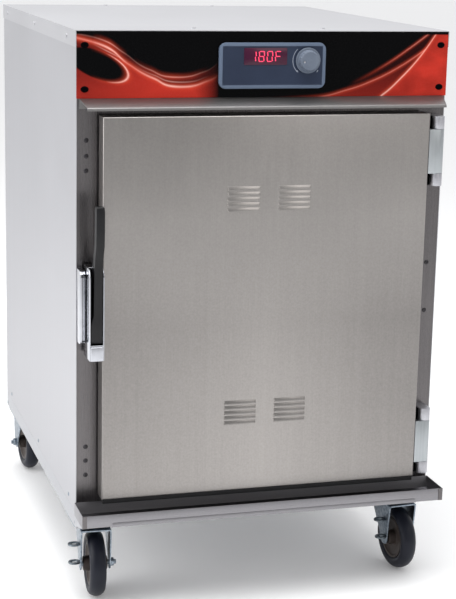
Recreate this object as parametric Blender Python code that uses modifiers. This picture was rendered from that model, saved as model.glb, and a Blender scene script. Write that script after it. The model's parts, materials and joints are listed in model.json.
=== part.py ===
"""Food holding cabinet: an insulated box on casters with an overlay door.

Metres, +Z up. The front faces -Y, the latch is at -X and the hinges are at +X. The origin is
on the floor, under the middle of everything that the object reaches over.
"""
from math import cos, pi, radians, sin

import bmesh
import bpy
from mathutils import Matrix, Vector

# ---------------------------------------------------------------------------------------
# Driving dimensions
# ---------------------------------------------------------------------------------------
BODY_WIDTH = 0.711          # over the top cover's side flanges
BODY_DEPTH = 0.840          # stile face to back panel
BODY_HEIGHT = 0.930         # underside of the base rails to the top cover

SHEET = 0.0012              # skins, liners and covers
RAIL_SHEET = 0.002          # base rails
GAP = 0.0003                # between faces that touch

SIDE_WALL = 0.0705          # outside of the body to the cavity, left and right
BACK_WALL = 0.052           # outside of the back panel to the cavity
SILL_HEIGHT = 0.085         # underside of the rails to the cavity's floor
FASCIA_HEIGHT = 0.1205      # control fascia, and the compartment behind it
HEADER_HEIGHT = 0.0445      # cavity's ceiling to the fascia's lower edge
STILE_RETURN = 0.020        # depth of the front frame
FASCIA_THICKNESS = 0.003
FLANGE_HEIGHT = 0.030       # top cover's flanges down the sides

RAIL_HEIGHT = 0.030
RAIL_FOOT = 0.096           # side rail's lower flange, which the casters bolt to
RAIL_LEDGE = 0.030          # upper flange, which the base pan lies on
CROSS_RAIL_FOOT = 0.045

SCREW_RADIUS = 0.0045
SCREW_HEIGHT = 0.0012
TOP_SCREW_X = 0.125
TOP_SCREW_INSETS = (0.058, 0.012)       # from the front and the back edge
FLANGE_SCREW_DROP = 0.016
FLANGE_SCREW_INSETS = (0.085, 0.065)    # from the front and the back edge

DOOR_LATCH_REVEAL = 0.041   # body side to door edge, at the latch
DOOR_HINGE_REVEAL = 0.0488
DOOR_TOP_REVEAL = 0.149
DOOR_BOTTOM_REVEAL = 0.071
DOOR_THICKNESS = 0.038
GASKET_THICKNESS = 0.0087
GASKET_WIDTH = 0.014

HINGE_PIN_RADIUS = 0.004
HINGE_NOSE_RADIUS = 0.0115
HINGE_AXIS_OFFSET = 0.0213  # door edge to pin
HINGE_AXIS_STANDOFF = 0.0358
HINGE_LENGTH = 0.131
HINGE_END = 0.0235          # length of each end knuckle
HINGE_BACK = 0.005
HINGE_END_CLEARANCE = 0.0005
HINGE_DROP = 0.006          # door's top edge to the upper hinge
HINGE_RISE = 0.004          # door's bottom edge to the lower hinge
PIN_CLEARANCE = 0.0002

LATCH_WIDTH = 0.0275
LATCH_BOTTOM = 0.343        # above the base rails
LATCH_HEIGHT = 0.169
LATCH_BACK = 0.012          # stile face to the latch's back
LATCH_BASE_FRONT = 0.044
LATCH_CHEEK_FRONT = 0.066
LATCH_CAP_FRONT = 0.070
LATCH_CAP_HEIGHT = 0.030
LATCH_CHEEK = 0.0022
LATCH_PIN_RADIUS = 0.003
LEVER_ROOT_RADIUS = 0.010
LEVER_HEIGHT = 0.244        # pin to the grip's top
LEVER_REACH = 0.083         # stile face to the grip's front
LEVER_GRIP = 0.018          # thickness of the grip, front to back
LEVER_SIDE_CLEARANCE = 0.0006
STRIKE_WIDTH = 0.0100
STRIKE_CLEARANCE = 0.0010
STRIKE_DEPTH = 0.036
STRIKE_HEIGHT = 0.137
STRIKE_RISE = 0.023         # latch's bottom to the strike's

HOOD_INSET = 0.007
HOOD_DEPTH = 0.038
HOOD_SLOPE = 0.010
HOOD_LIP = 0.006
HOOD_FLANGE = 0.018

TROUGH_DEPTH = 0.078
TROUGH_HEIGHT = 0.0245
TROUGH_BOTTOM = 0.028
TROUGH_OVERHANG = 0.0015    # past each side of the body

MODULE_WIDTH = 0.203
MODULE_HEIGHT = 0.083
MODULE_X = 0.0076
MODULE_RISE = 0.0577        # fascia's lower edge to the module's middle
MODULE_THICKNESS = 0.007
MODULE_CORNER = 0.014
MODULE_BOX_MARGIN = 0.012
MODULE_BOX_DEPTH = 0.050
MODULE_CUTOUT_CLEARANCE = 0.0005
WINDOW_WIDTH = 0.082
WINDOW_HEIGHT = 0.031
WINDOW_X = -0.0141          # from the module's middle
WINDOW_RISE = 0.0168
WINDOW_THICKNESS = 0.0012
KNOB_X = 0.0668
KNOB_RISE = 0.0094
KNOB_RADIUS = 0.0235
KNOB_SKIRT = 0.003
KNOB_GRIP_RADIUS = 0.0185
KNOB_GRIP = 0.011
KNOB_FLUTES = 20
KNOB_FLUTE_DEPTH = 0.0009
STEM_RADIUS = 0.003
STEM_LENGTH = 0.012

PLENUM_HEIGHT = 0.060
BAFFLE_FRONT = 0.060
BAFFLE_DEPTH = 0.640
FAN_Y = 0.400
FAN_RADIUS = 0.075
FAN_BLADES = 14
FAN_BLADE_THICKNESS = 0.003
FAN_HEIGHT = 0.034
FAN_HUB_RADIUS = 0.050
FAN_DISC = 0.002
FAN_CLEARANCE = 0.008       # to the baffle
FAN_INTAKE_RADIUS = 0.060
SHAFT_RADIUS = 0.004
SHAFT_HOLE_RADIUS = 0.010
SHAFT_SEAT = 0.020          # length of the shaft inside the motor
MOTOR_RADIUS = 0.045
MOTOR_HEIGHT = 0.070
HEATER_RING_RADIUS = 0.110
HEATER_TUBE_RADIUS = 0.004
HEATER_OPENING = 18         # half angle between the ring's ends, in degrees
PROBE_X = 0.200
PROBE_RADIUS = 0.003
PROBE_LENGTH = 0.045
PROBE_COLLAR_RADIUS = 0.008
PROBE_COLLAR = 0.004

RACK_PITCH = 0.0762
RACK_LEDGE = 0.024
RACK_SHEET = 0.0015
RACK_FIRST = 0.060          # cavity's floor to the lowest ledge
RACK_HEADROOM = 0.040       # least room over the highest ledge
RACK_FRONT = 0.035
RACK_BACK_MARGIN = 0.040

INLET_X = 0.220
INLET_RISE = 0.060          # fascia's lower edge level to the inlet's middle
INLET_FLANGE = 0.070
INLET_FLANGE_THICKNESS = 0.004
INLET_BARREL_RADIUS = 0.025
INLET_BARREL_WALL = 0.003
INLET_BARREL_LENGTH = 0.020
INLET_SOCKET_DEPTH = 0.016

WHEEL_DIAMETER = 0.127
WHEEL_WIDTH = 0.032
WHEEL_SIDES = 32
HUB_RADIUS = 0.014
HUB_WIDTH = 0.046
RIM_RADIUS = 0.047
WEB_WIDTH = 0.012
AXLE_RADIUS = 0.005
AXLE_CLEARANCE = 0.0002
HUB_CLEARANCE = 0.0005
FORK_SHEET = 0.003
FORK_CROWN_CLEARANCE = 0.004
FORK_TOP_LENGTH = 0.060
FORK_END_RADIUS = 0.012
RACE_RADIUS = 0.030
RACE_HEIGHT = 0.0045        # each half of the swivel race
CASTER_PLATE = 0.090
CASTER_PLATE_THICKNESS = 0.004
CASTER_TRAIL = 0.034
CASTER_INSET_X = 0.047      # body side to swivel axis
CASTER_INSET_Y = 0.066      # stile face or back panel to swivel axis
NUT_RADIUS = 0.009
NUT_HEIGHT = 0.007
CASTER_TURNS = {            # how far each fork has swung from straight, in degrees
    "front_left": -4,
    "front_right": 5,
    "rear_left": 3,
    "rear_right": -6,
}

BRAKE_SHEET = 0.0025
BRAKE_HEIGHT = 0.042        # axle to the upper pedal
BRAKE_ARM_WIDTH = 0.016
PEDAL_REACH = 0.024
PEDAL_LENGTH = 0.022
PEDAL_THICKNESS = 0.003
PEDAL_RIM = 0.004

ROUND = 32                  # sides of a round piece
SMALL_ROUND = 16

# ---------------------------------------------------------------------------------------
# Levels and planes that pieces share
# ---------------------------------------------------------------------------------------
WHEEL_RADIUS = WHEEL_DIAMETER / 2
RAILS_Z = (WHEEL_DIAMETER + FORK_CROWN_CLEARANCE + FORK_SHEET + 2 * RACE_HEIGHT + GAP
           + CASTER_PLATE_THICKNESS + GAP)
TOP_Z = RAILS_Z + BODY_HEIGHT
RAIL_TOP_Z = RAILS_Z + RAIL_HEIGHT
FLOOR_Z = RAILS_Z + SILL_HEIGHT
DECK_Z = TOP_Z - FASCIA_HEIGHT
CEILING_Z = DECK_Z - HEADER_HEIGHT
BAFFLE_Z = CEILING_Z - PLENUM_HEIGHT
RACK_LEDGES = 1 + int((BAFFLE_Z - RACK_HEADROOM - RACK_FIRST - FLOOR_Z) / RACK_PITCH)

FRONT_REACH = LEVER_REACH
BACK_REACH = max(BODY_DEPTH - CASTER_INSET_Y + CASTER_TRAIL + WHEEL_RADIUS,
                 BODY_DEPTH + GAP + INLET_FLANGE_THICKNESS + INLET_BARREL_LENGTH)
FRONT_Y = (FRONT_REACH - BACK_REACH) / 2        # the stiles' face
BACK_Y = FRONT_Y + BODY_DEPTH
FRAME_BACK_Y = FRONT_Y + STILE_RETURN + GAP
CAVITY_BACK_Y = BACK_Y - BACK_WALL

HALF_WIDTH = BODY_WIDTH / 2
SKIN_X = HALF_WIDTH - SHEET - GAP               # outside of the side panels
INNER_X = SKIN_X - SHEET - GAP                  # what fits between the side panels
CAVITY_X = HALF_WIDTH - SIDE_WALL

DOOR_LEFT = -HALF_WIDTH + DOOR_LATCH_REVEAL
DOOR_RIGHT = HALF_WIDTH - DOOR_HINGE_REVEAL
DOOR_BOTTOM_Z = RAILS_Z + DOOR_BOTTOM_REVEAL
DOOR_TOP_Z = TOP_Z - DOOR_TOP_REVEAL
DOOR_BACK_Y = FRONT_Y - GASKET_THICKNESS - GAP
DOOR_FRONT_Y = DOOR_BACK_Y - DOOR_THICKNESS

HINGE_X = DOOR_RIGHT + HINGE_AXIS_OFFSET
HINGE_Y = FRONT_Y - HINGE_AXIS_STANDOFF
FASCIA_Y = FRONT_Y - FASCIA_THICKNESS
MODULE_Z = DECK_Z + MODULE_RISE
MODULE_FRONT_Y = FASCIA_Y - GAP - MODULE_THICKNESS
LATCH_Z = RAILS_Z + LATCH_BOTTOM
LEVER_PIN_Y = FRONT_Y - LATCH_BASE_FRONT - LEVER_ROOT_RADIUS - 2 * GAP
LEVER_PIN_Z = LATCH_Z + LATCH_CAP_HEIGHT + LEVER_ROOT_RADIUS + 2 * GAP

# ---------------------------------------------------------------------------------------
# Scene and finishes
# ---------------------------------------------------------------------------------------
for old in list(bpy.data.objects):
    bpy.data.objects.remove(old, do_unlink=True)

PARTS = bpy.data.collections.new("food_holding_cabinet")
CUTTERS = bpy.data.collections.new("cutters")
for group in (PARTS, CUTTERS):
    bpy.context.scene.collection.children.link(group)

FINISHES = {                # base colour, roughness, metallic
    "brushed_steel": ((0.62, 0.61, 0.60), 0.35, 1.0),
    "side_steel": ((0.72, 0.72, 0.74), 0.40, 1.0),
    "liner_steel": ((0.66, 0.66, 0.67), 0.30, 1.0),
    "rail_steel": ((0.60, 0.61, 0.63), 0.45, 1.0),
    "fascia_print": ((0.10, 0.01, 0.01), 0.25, 0.0),
    "module_plastic": ((0.05, 0.07, 0.11), 0.45, 0.0),
    "window_plastic": ((0.10, 0.01, 0.01), 0.10, 0.0),
    "knob_plastic": ((0.16, 0.19, 0.25), 0.50, 0.0),
    "chrome": ((0.82, 0.82, 0.84), 0.08, 1.0),
    "black_grip": ((0.015, 0.015, 0.016), 0.45, 0.0),
    "gasket_rubber": ((0.03, 0.03, 0.03), 0.75, 0.0),
    "insulation_wool": ((0.75, 0.70, 0.45), 0.95, 0.0),
    "heater_alloy": ((0.25, 0.22, 0.20), 0.50, 1.0),
    "fan_aluminium": ((0.75, 0.75, 0.76), 0.40, 1.0),
    "motor_paint": ((0.12, 0.12, 0.13), 0.50, 0.3),
    "zinc": ((0.55, 0.60, 0.64), 0.35, 1.0),
    "wheel_tread": ((0.03, 0.032, 0.04), 0.55, 0.0),
}


def finish(name):
    """One material for each object, with the base colour, roughness and metal of its kind."""
    color, roughness, metallic = FINISHES[name]
    made = bpy.data.materials.new(name)
    made.use_nodes = True
    shader = made.node_tree.nodes["Principled BSDF"]
    shader.inputs["Base Color"].default_value = (*color, 1.0)
    shader.inputs["Roughness"].default_value = roughness
    shader.inputs["Metallic"].default_value = metallic
    return made


# ---------------------------------------------------------------------------------------
# Shapes
# ---------------------------------------------------------------------------------------
TURNS = {                   # from an outline's plane and thickness to the part's axes
    "X": Matrix(((0, 0, 1), (1, 0, 0), (0, 1, 0))),
    "Y": Matrix(((1, 0, 0), (0, 0, -1), (0, 1, 0))),
    "Z": Matrix.Identity(3),
}


def add_piece(name, mesh, kind, origin=(0, 0, 0)):
    """An object for a mesh whose points are already in place, with its origin at a point."""
    mesh.transform(Matrix.Translation(-Vector(origin)))
    piece = bpy.data.objects.new(name, mesh)
    piece.location = origin
    mesh.materials.append(finish(kind))
    PARTS.objects.link(piece)
    return piece


def box_mesh(x, y, z):
    """A box between three (low, high) pairs."""
    middle = Vector([(low + high) / 2 for low, high in (x, y, z)])
    size = [high - low for low, high in (x, y, z)]
    shape = bmesh.new()
    place = Matrix.Translation(middle) @ Matrix.Diagonal((*size, 1))
    bmesh.ops.create_cube(shape, size=1, matrix=place)
    mesh = bpy.data.meshes.new("box")
    shape.to_mesh(mesh)
    shape.free()
    return mesh


def box(name, kind, x, y, z):
    return add_piece(name, box_mesh(x, y, z), kind)


def cylinder_mesh(center, radius, length, axis, sides=ROUND):
    """A cylinder about an axis through its middle point."""
    shape = bmesh.new()
    place = Matrix.Translation(center) @ TURNS[axis].to_4x4()
    bmesh.ops.create_cone(shape, cap_ends=True, segments=sides, radius1=radius, radius2=radius,
                          depth=length, matrix=place)
    mesh = bpy.data.meshes.new("cylinder")
    shape.to_mesh(mesh)
    shape.free()
    return mesh


def welded_mesh(source):
    """The evaluated mesh of an object, in place, with a curve's loose caps welded on."""
    bpy.context.view_layer.update()
    evaluated = source.evaluated_get(bpy.context.evaluated_depsgraph_get())
    mesh = bpy.data.meshes.new_from_object(evaluated)
    mesh.transform(source.matrix_world)
    shape = bmesh.new()
    shape.from_mesh(mesh)
    bmesh.ops.remove_doubles(shape, verts=shape.verts, dist=0.00001)
    shape.to_mesh(mesh)
    shape.free()
    bpy.data.objects.remove(source, do_unlink=True)
    return mesh


def outline_mesh(loops, span, axis):
    """Closed loops of (u, v) points filled and extruded over a span along an axis.

    u and v are y and z for axis X, x and z for axis Y, and x and y for axis Z.
    """
    curve = bpy.data.curves.new("outline", "CURVE")
    curve.dimensions = "2D"
    curve.fill_mode = "BOTH"
    curve.extrude = (span[1] - span[0]) / 2
    for loop in loops:
        spline = curve.splines.new("POLY")
        spline.points.add(len(loop) - 1)
        for point, (u, v) in zip(spline.points, loop):
            point.co = (u, v, 0, 1)
        spline.use_cyclic_u = True
    guide = bpy.data.objects.new("outline", curve)
    bpy.context.scene.collection.objects.link(guide)
    middle = Vector([(span[0] + span[1]) / 2 if letter == axis else 0 for letter in "XYZ"])
    guide.matrix_world = Matrix.Translation(middle) @ TURNS[axis].to_4x4()
    return welded_mesh(guide)


def outline(name, kind, loops, span, axis, origin=(0, 0, 0)):
    return add_piece(name, outline_mesh(loops, span, axis), kind, origin)


def bent_sheet(path, thickness):
    """The outline of a folded sheet: a path, and the same path moved to its left."""
    points = [Vector(point) for point in path]
    normals = []
    for start, end in zip(points, points[1:]):
        along = (end - start).normalized()
        normals.append(Vector((-along.y, along.x)))
    offsets = [normals[0]]
    for before, after in zip(normals, normals[1:]):
        offsets.append((before + after) / (1 + before.dot(after)))
    offsets.append(normals[-1])
    moved = [point + offset * thickness for point, offset in zip(points, offsets)]
    return [tuple(point) for point in points + moved[::-1]]


def rectangle(u, v):
    """A rectangle's corners between two (low, high) pairs."""
    return [(u[0], v[0]), (u[1], v[0]), (u[1], v[1]), (u[0], v[1])]


def arc(center, radius, start, end, steps):
    """Points along an arc, with its angles in degrees."""
    turns = [radians(start + (end - start) * step / steps) for step in range(steps + 1)]
    return [(center[0] + radius * cos(turn), center[1] + radius * sin(turn)) for turn in turns]


def circle(center, radius, sides=ROUND):
    return arc(center, radius, 0, 360, sides)[:-1]


def rounded_rectangle(u, v, radius, steps=6):
    """A rectangle's outline with an arc at each corner."""
    points = []
    corners = ((u[1], v[1], 0), (u[0], v[1], 90), (u[0], v[0], 180), (u[1], v[0], 270))
    for corner_u, corner_v, start in corners:
        center = (corner_u - radius if corner_u == u[1] else corner_u + radius,
                  corner_v - radius if corner_v == v[1] else corner_v + radius)
        points += arc(center, radius, start, start + 90, steps)
    return points


def turned_mesh(profile, sides, axis, center, half_step=False):
    """A closed profile of (radius, height) points, outer side downwards, turned about an axis."""
    shape = bmesh.new()
    points = [shape.verts.new((radius, 0, height)) for radius, height in profile]
    for start, end in zip(points, points[1:] + points[:1]):
        shape.edges.new((start, end))
    mesh = bpy.data.meshes.new("profile")
    shape.to_mesh(mesh)
    shape.free()
    guide = bpy.data.objects.new("turned", mesh)
    bpy.context.scene.collection.objects.link(guide)
    screw = guide.modifiers.new("turn", "SCREW")
    screw.steps = sides
    screw.render_steps = sides
    screw.use_merge_vertices = True
    screw.merge_threshold = 0.00001
    start_turn = Matrix.Rotation(pi / sides if half_step else 0, 4, "Z")
    guide.matrix_world = Matrix.Translation(center) @ TURNS[axis].to_4x4() @ start_turn
    return welded_mesh(guide)


def combine(piece, mesh, operation):
    """Cut a mesh out of a piece, or join it on, with a Boolean modifier."""
    tool = bpy.data.objects.new(piece.name + "_" + operation.lower(), mesh)
    tool.hide_render = True
    tool.display_type = "WIRE"
    CUTTERS.objects.link(tool)
    modifier = piece.modifiers.new(operation.lower(), "BOOLEAN")
    modifier.operation = operation
    modifier.object = tool
    modifier.solver = "EXACT"


def cut(piece, *meshes):
    for mesh in meshes:
        combine(piece, mesh, "DIFFERENCE")


def join(piece, *meshes):
    for mesh in meshes:
        combine(piece, mesh, "UNION")


def mirrored_x(points):
    return [(-u, v) for u, v in points][::-1]


def span_from(start, length):
    """A (low, high) pair from one end and a signed length."""
    return tuple(sorted((start, start + length)))


# ---------------------------------------------------------------------------------------
# Body shell
# ---------------------------------------------------------------------------------------
def side_panels():
    for side, sign in (("left", -1), ("right", 1)):
        box(f"outer_panel_{side}", "side_steel", span_from(sign * SKIN_X, -sign * SHEET),
            (FRONT_Y, BACK_Y - SHEET - GAP), (RAIL_TOP_Z + GAP, TOP_Z - SHEET - GAP))


def back_panel():
    box("outer_back_panel", "side_steel", (-SKIN_X, SKIN_X), (BACK_Y - SHEET, BACK_Y),
        (RAIL_TOP_Z + GAP, TOP_Z - SHEET - GAP))


def top_cover():
    """A sheet folded down over both sides, with its screw heads."""
    path = [(-HALF_WIDTH, TOP_Z - FLANGE_HEIGHT), (-HALF_WIDTH, TOP_Z),
            (HALF_WIDTH, TOP_Z), (HALF_WIDTH, TOP_Z - FLANGE_HEIGHT)]
    cover = outline("top_cover", "side_steel", [bent_sheet(path, -SHEET)], (FASCIA_Y, BACK_Y), "Y")
    sunk = SHEET / 2
    for x in (-TOP_SCREW_X, TOP_SCREW_X):
        for y in (FRONT_Y + TOP_SCREW_INSETS[0], BACK_Y - TOP_SCREW_INSETS[1]):
            middle = (x, y, TOP_Z + (SCREW_HEIGHT - sunk) / 2)
            join(cover, cylinder_mesh(middle, SCREW_RADIUS, SCREW_HEIGHT + sunk, "Z", SMALL_ROUND))
    first = FRONT_Y + FLANGE_SCREW_INSETS[0]
    last = BACK_Y - FLANGE_SCREW_INSETS[1]
    for sign in (-1, 1):
        for y in (first, (first + last) / 2, last):
            middle = (sign * (HALF_WIDTH + (SCREW_HEIGHT - sunk) / 2), y, TOP_Z - FLANGE_SCREW_DROP)
            join(cover, cylinder_mesh(middle, SCREW_RADIUS, SCREW_HEIGHT + sunk, "X", SMALL_ROUND))


def base_rails():
    """Four folded channels: the casters bolt under the side rails' wide feet."""
    low = RAILS_Z
    side_path = [(SKIN_X - RAIL_LEDGE, RAIL_TOP_Z), (SKIN_X, RAIL_TOP_Z),
                 (SKIN_X, low), (SKIN_X - RAIL_FOOT, low)]
    right = bent_sheet(side_path, -RAIL_SHEET)
    outline("base_rail_right", "rail_steel", [right], (FRONT_Y, BACK_Y), "Y")
    outline("base_rail_left", "rail_steel", [mirrored_x(right)], (FRONT_Y, BACK_Y), "Y")
    span = (-SKIN_X + RAIL_FOOT + GAP, SKIN_X - RAIL_FOOT - GAP)
    for name, face, inward in (("front", FRONT_Y, 1), ("rear", BACK_Y, -1)):
        path = [(face + inward * RAIL_LEDGE, RAIL_TOP_Z), (face, RAIL_TOP_Z),
                (face, low), (face + inward * CROSS_RAIL_FOOT, low)]
        outline(f"base_rail_{name}", "rail_steel", [bent_sheet(path, inward * RAIL_SHEET)],
                span, "X")


def base_pan():
    box("base_pan", "rail_steel", (-INNER_X, INNER_X), (FRAME_BACK_Y, BACK_Y - SHEET - GAP),
        (RAIL_TOP_Z + GAP, RAIL_TOP_Z + GAP + SHEET))


def front_frame():
    """Stiles, header and sill: folded channels around the cavity's mouth."""
    back = FRONT_Y + STILE_RETURN
    stile_path = [(CAVITY_X, back), (CAVITY_X, FRONT_Y), (INNER_X, FRONT_Y), (INNER_X, back)]
    right = bent_sheet(stile_path, SHEET)
    height = (RAIL_TOP_Z + GAP, DECK_Z - GAP)
    outline("stile_right", "brushed_steel", [right], height, "Z")
    outline("stile_left", "brushed_steel", [mirrored_x(right)], height, "Z")
    span = (-CAVITY_X + GAP, CAVITY_X - GAP)
    for name, low, high in (("header_rail", CEILING_Z, DECK_Z - GAP),
                            ("sill_rail", RAIL_TOP_Z + GAP, FLOOR_Z)):
        path = [(back, low), (FRONT_Y, low), (FRONT_Y, high), (back, high)]
        outline(name, "brushed_steel", [bent_sheet(path, -SHEET)], span, "X")


def control_deck():
    """The shelf over the cavity that carries the blower and the controls."""
    deck = box("control_deck", "rail_steel", (-INNER_X, INNER_X),
               (FRONT_Y + GAP, BACK_Y - SHEET - GAP), (DECK_Z, DECK_Z + SHEET))
    cut(deck, cylinder_mesh((0, FRONT_Y + FAN_Y, DECK_Z), SHAFT_HOLE_RADIUS, 4 * SHEET, "Z"))


def liner():
    """The cavity's five stainless panels."""
    depth = (FRAME_BACK_Y, CAVITY_BACK_Y)
    for side, sign in (("left", -1), ("right", 1)):
        box(f"liner_{side}", "liner_steel", span_from(sign * CAVITY_X, sign * SHEET), depth,
            (FLOOR_Z, CEILING_Z))
    wide = (-CAVITY_X - SHEET, CAVITY_X + SHEET)
    top = box("liner_top", "liner_steel", wide, depth, (CEILING_Z + GAP, CEILING_Z + GAP + SHEET))
    cut(top, cylinder_mesh((0, FRONT_Y + FAN_Y, CEILING_Z), SHAFT_HOLE_RADIUS, 6 * SHEET, "Z"))
    box("liner_bottom", "liner_steel", wide, depth, (FLOOR_Z - GAP - SHEET, FLOOR_Z - GAP))
    box("liner_back", "liner_steel", wide,
        (CAVITY_BACK_Y + GAP, CAVITY_BACK_Y + GAP + SHEET),
        (FLOOR_Z - GAP - SHEET, CEILING_Z + GAP + SHEET))


def insulation():
    """Mineral wool: one shell round the sides, back and top, and a slab under the floor."""
    pan_top = RAIL_TOP_Z + 2 * GAP + SHEET
    slot_x = CAVITY_X + SHEET + GAP
    shell = box("insulation_shell", "insulation_wool", (-INNER_X, INNER_X),
                (FRAME_BACK_Y, BACK_Y - SHEET - GAP), (pan_top, DECK_Z - GAP))
    cut(shell,
        box_mesh((-slot_x, slot_x), (FRONT_Y, CAVITY_BACK_Y + 2 * GAP + SHEET),
                 (RAILS_Z, CEILING_Z + 2 * GAP + SHEET)),
        cylinder_mesh((0, FRONT_Y + FAN_Y, DECK_Z), SHAFT_HOLE_RADIUS, 3 * HEADER_HEIGHT, "Z"))
    box("insulation_bottom", "insulation_wool", (-slot_x + GAP, slot_x - GAP),
        (FRAME_BACK_Y, CAVITY_BACK_Y + GAP + SHEET), (pan_top, FLOOR_Z - 2 * GAP - SHEET))


# ---------------------------------------------------------------------------------------
# Front: fascia, controls, hood and trough
# ---------------------------------------------------------------------------------------
def module_box(clearance):
    """The part of the control module that passes through the fascia."""
    half_width = MODULE_WIDTH / 2 - MODULE_BOX_MARGIN + clearance
    half_height = MODULE_HEIGHT / 2 - MODULE_BOX_MARGIN + clearance
    return ((MODULE_X - half_width, MODULE_X + half_width),
            (MODULE_Z - half_height, MODULE_Z + half_height))


def fascia():
    opening_x, opening_z = module_box(MODULE_CUTOUT_CLEARANCE)
    face = rectangle((-SKIN_X, SKIN_X), (DECK_Z + GAP, TOP_Z - SHEET - GAP))
    outline("fascia_panel", "fascia_print", [face, rectangle(opening_x, opening_z)],
            (FASCIA_Y, FRONT_Y - GAP), "Y")


def control_module():
    """A bezel on the fascia with its electronics box behind, bored for the knob's stem."""
    half_width = MODULE_WIDTH / 2
    half_height = MODULE_HEIGHT / 2
    face = rounded_rectangle((MODULE_X - half_width, MODULE_X + half_width),
                             (MODULE_Z - half_height, MODULE_Z + half_height), MODULE_CORNER)
    module = outline("control_module", "module_plastic", [face],
                     (MODULE_FRONT_Y, FASCIA_Y - GAP), "Y")
    inner_x, inner_z = module_box(0)
    join(module, box_mesh(inner_x, (MODULE_FRONT_Y + MODULE_THICKNESS / 2,
                                    FRONT_Y + MODULE_BOX_DEPTH), inner_z))
    window_x = MODULE_X + WINDOW_X
    window_z = MODULE_Z + WINDOW_RISE
    pocket = [(center - size / 2 - GAP, center + size / 2 + GAP)
              for center, size in ((window_x, WINDOW_WIDTH), (window_z, WINDOW_HEIGHT))]
    pocket_floor = MODULE_FRONT_Y + WINDOW_THICKNESS + 2 * GAP
    cut(module, box_mesh(pocket[0], (MODULE_FRONT_Y - SHEET, pocket_floor), pocket[1]))
    box("display_window", "window_plastic",
        (pocket[0][0] + GAP, pocket[0][1] - GAP),
        (MODULE_FRONT_Y + GAP, MODULE_FRONT_Y + GAP + WINDOW_THICKNESS),
        (pocket[1][0] + GAP, pocket[1][1] - GAP))
    knob_bore = (STEM_LENGTH + 2 * GAP) * 2
    cut(module, cylinder_mesh((MODULE_X + KNOB_X, MODULE_FRONT_Y, MODULE_Z + KNOB_RISE),
                              STEM_RADIUS + PIN_CLEARANCE, knob_bore, "Y"))


def control_knob():
    """A skirt with a fluted grip, on a stem in the module's bore."""
    center = (MODULE_X + KNOB_X, MODULE_Z + KNOB_RISE)
    back = MODULE_FRONT_Y - GAP
    knob = outline("control_knob", "knob_plastic", [circle(center, KNOB_RADIUS)],
                   (back - KNOB_SKIRT, back), "Y", origin=(center[0], back, center[1]))
    grip = []
    for step in range(4 * KNOB_FLUTES):
        turn = 2 * pi * step / (4 * KNOB_FLUTES)
        radius = KNOB_GRIP_RADIUS + KNOB_FLUTE_DEPTH * cos(KNOB_FLUTES * turn)
        grip.append((center[0] + radius * cos(turn), center[1] + radius * sin(turn)))
    join(knob,
         outline_mesh([grip], (back - KNOB_SKIRT - KNOB_GRIP, back - KNOB_SKIRT / 2), "Y"),
         cylinder_mesh((center[0], back + STEM_LENGTH / 2 - KNOB_SKIRT / 4, center[1]),
                       STEM_RADIUS, STEM_LENGTH + KNOB_SKIRT / 2, "Y"))


def drip_hood():
    """A folded strip over the door: a flange on the header, a sloped top and a short lip."""
    wall = FRONT_Y - GAP
    root = DECK_Z - GAP
    tip = wall - HOOD_DEPTH
    path = [(wall, root - HOOD_FLANGE), (wall, root),
            (tip, root - HOOD_SLOPE), (tip, root - HOOD_SLOPE - HOOD_LIP)]
    outline("drip_hood", "brushed_steel", [bent_sheet(path, SHEET)],
            (-HALF_WIDTH + HOOD_INSET, HALF_WIDTH - HOOD_INSET), "X")


def drip_trough():
    """An open tray across the front, below the door."""
    x = HALF_WIDTH + TROUGH_OVERHANG
    low = RAILS_Z + TROUGH_BOTTOM
    back = FRONT_Y - GAP
    front = back - TROUGH_DEPTH
    trough = box("drip_trough", "brushed_steel", (-x, x), (front, back),
                 (low, low + TROUGH_HEIGHT))
    cut(trough, box_mesh((-x + SHEET, x - SHEET), (front + SHEET, back - SHEET),
                         (low + SHEET, low + 2 * TROUGH_HEIGHT)))


# ---------------------------------------------------------------------------------------
# Inside: racks, heater and blower
# ---------------------------------------------------------------------------------------
def pan_racks():
    """Each side's formed rack is one comb-shaped section with a ledge for every pan."""
    wall = CAVITY_X - GAP
    face = wall - RACK_SHEET
    tip = face - RACK_LEDGE
    section = [(wall, FLOOR_Z + GAP), (wall, BAFFLE_Z - 2 * GAP), (face, BAFFLE_Z - 2 * GAP)]
    for ledge in reversed(range(RACK_LEDGES)):
        top = FLOOR_Z + RACK_FIRST + ledge * RACK_PITCH
        section += [(face, top), (tip, top), (tip, top - RACK_SHEET), (face, top - RACK_SHEET)]
    section.append((face, FLOOR_Z + GAP))
    depth = (FRONT_Y + RACK_FRONT, CAVITY_BACK_Y - RACK_BACK_MARGIN)
    outline("pan_rack_right", "liner_steel", [section], depth, "Y")
    outline("pan_rack_left", "liner_steel", [mirrored_x(section)], depth, "Y")


def air_baffle():
    """A tray under the ceiling that closes the fan's plenum, open at front and back."""
    x = CAVITY_X - GAP
    top = CEILING_Z - GAP
    path = [(-x, top), (-x, BAFFLE_Z), (x, BAFFLE_Z), (x, top)]
    front = FRONT_Y + BAFFLE_FRONT
    baffle = outline("air_baffle", "liner_steel", [bent_sheet(path, SHEET)],
                     (front, front + BAFFLE_DEPTH), "Y")
    cut(baffle, cylinder_mesh((0, FRONT_Y + FAN_Y, BAFFLE_Z), FAN_INTAKE_RADIUS, 8 * SHEET, "Z"))


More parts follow.
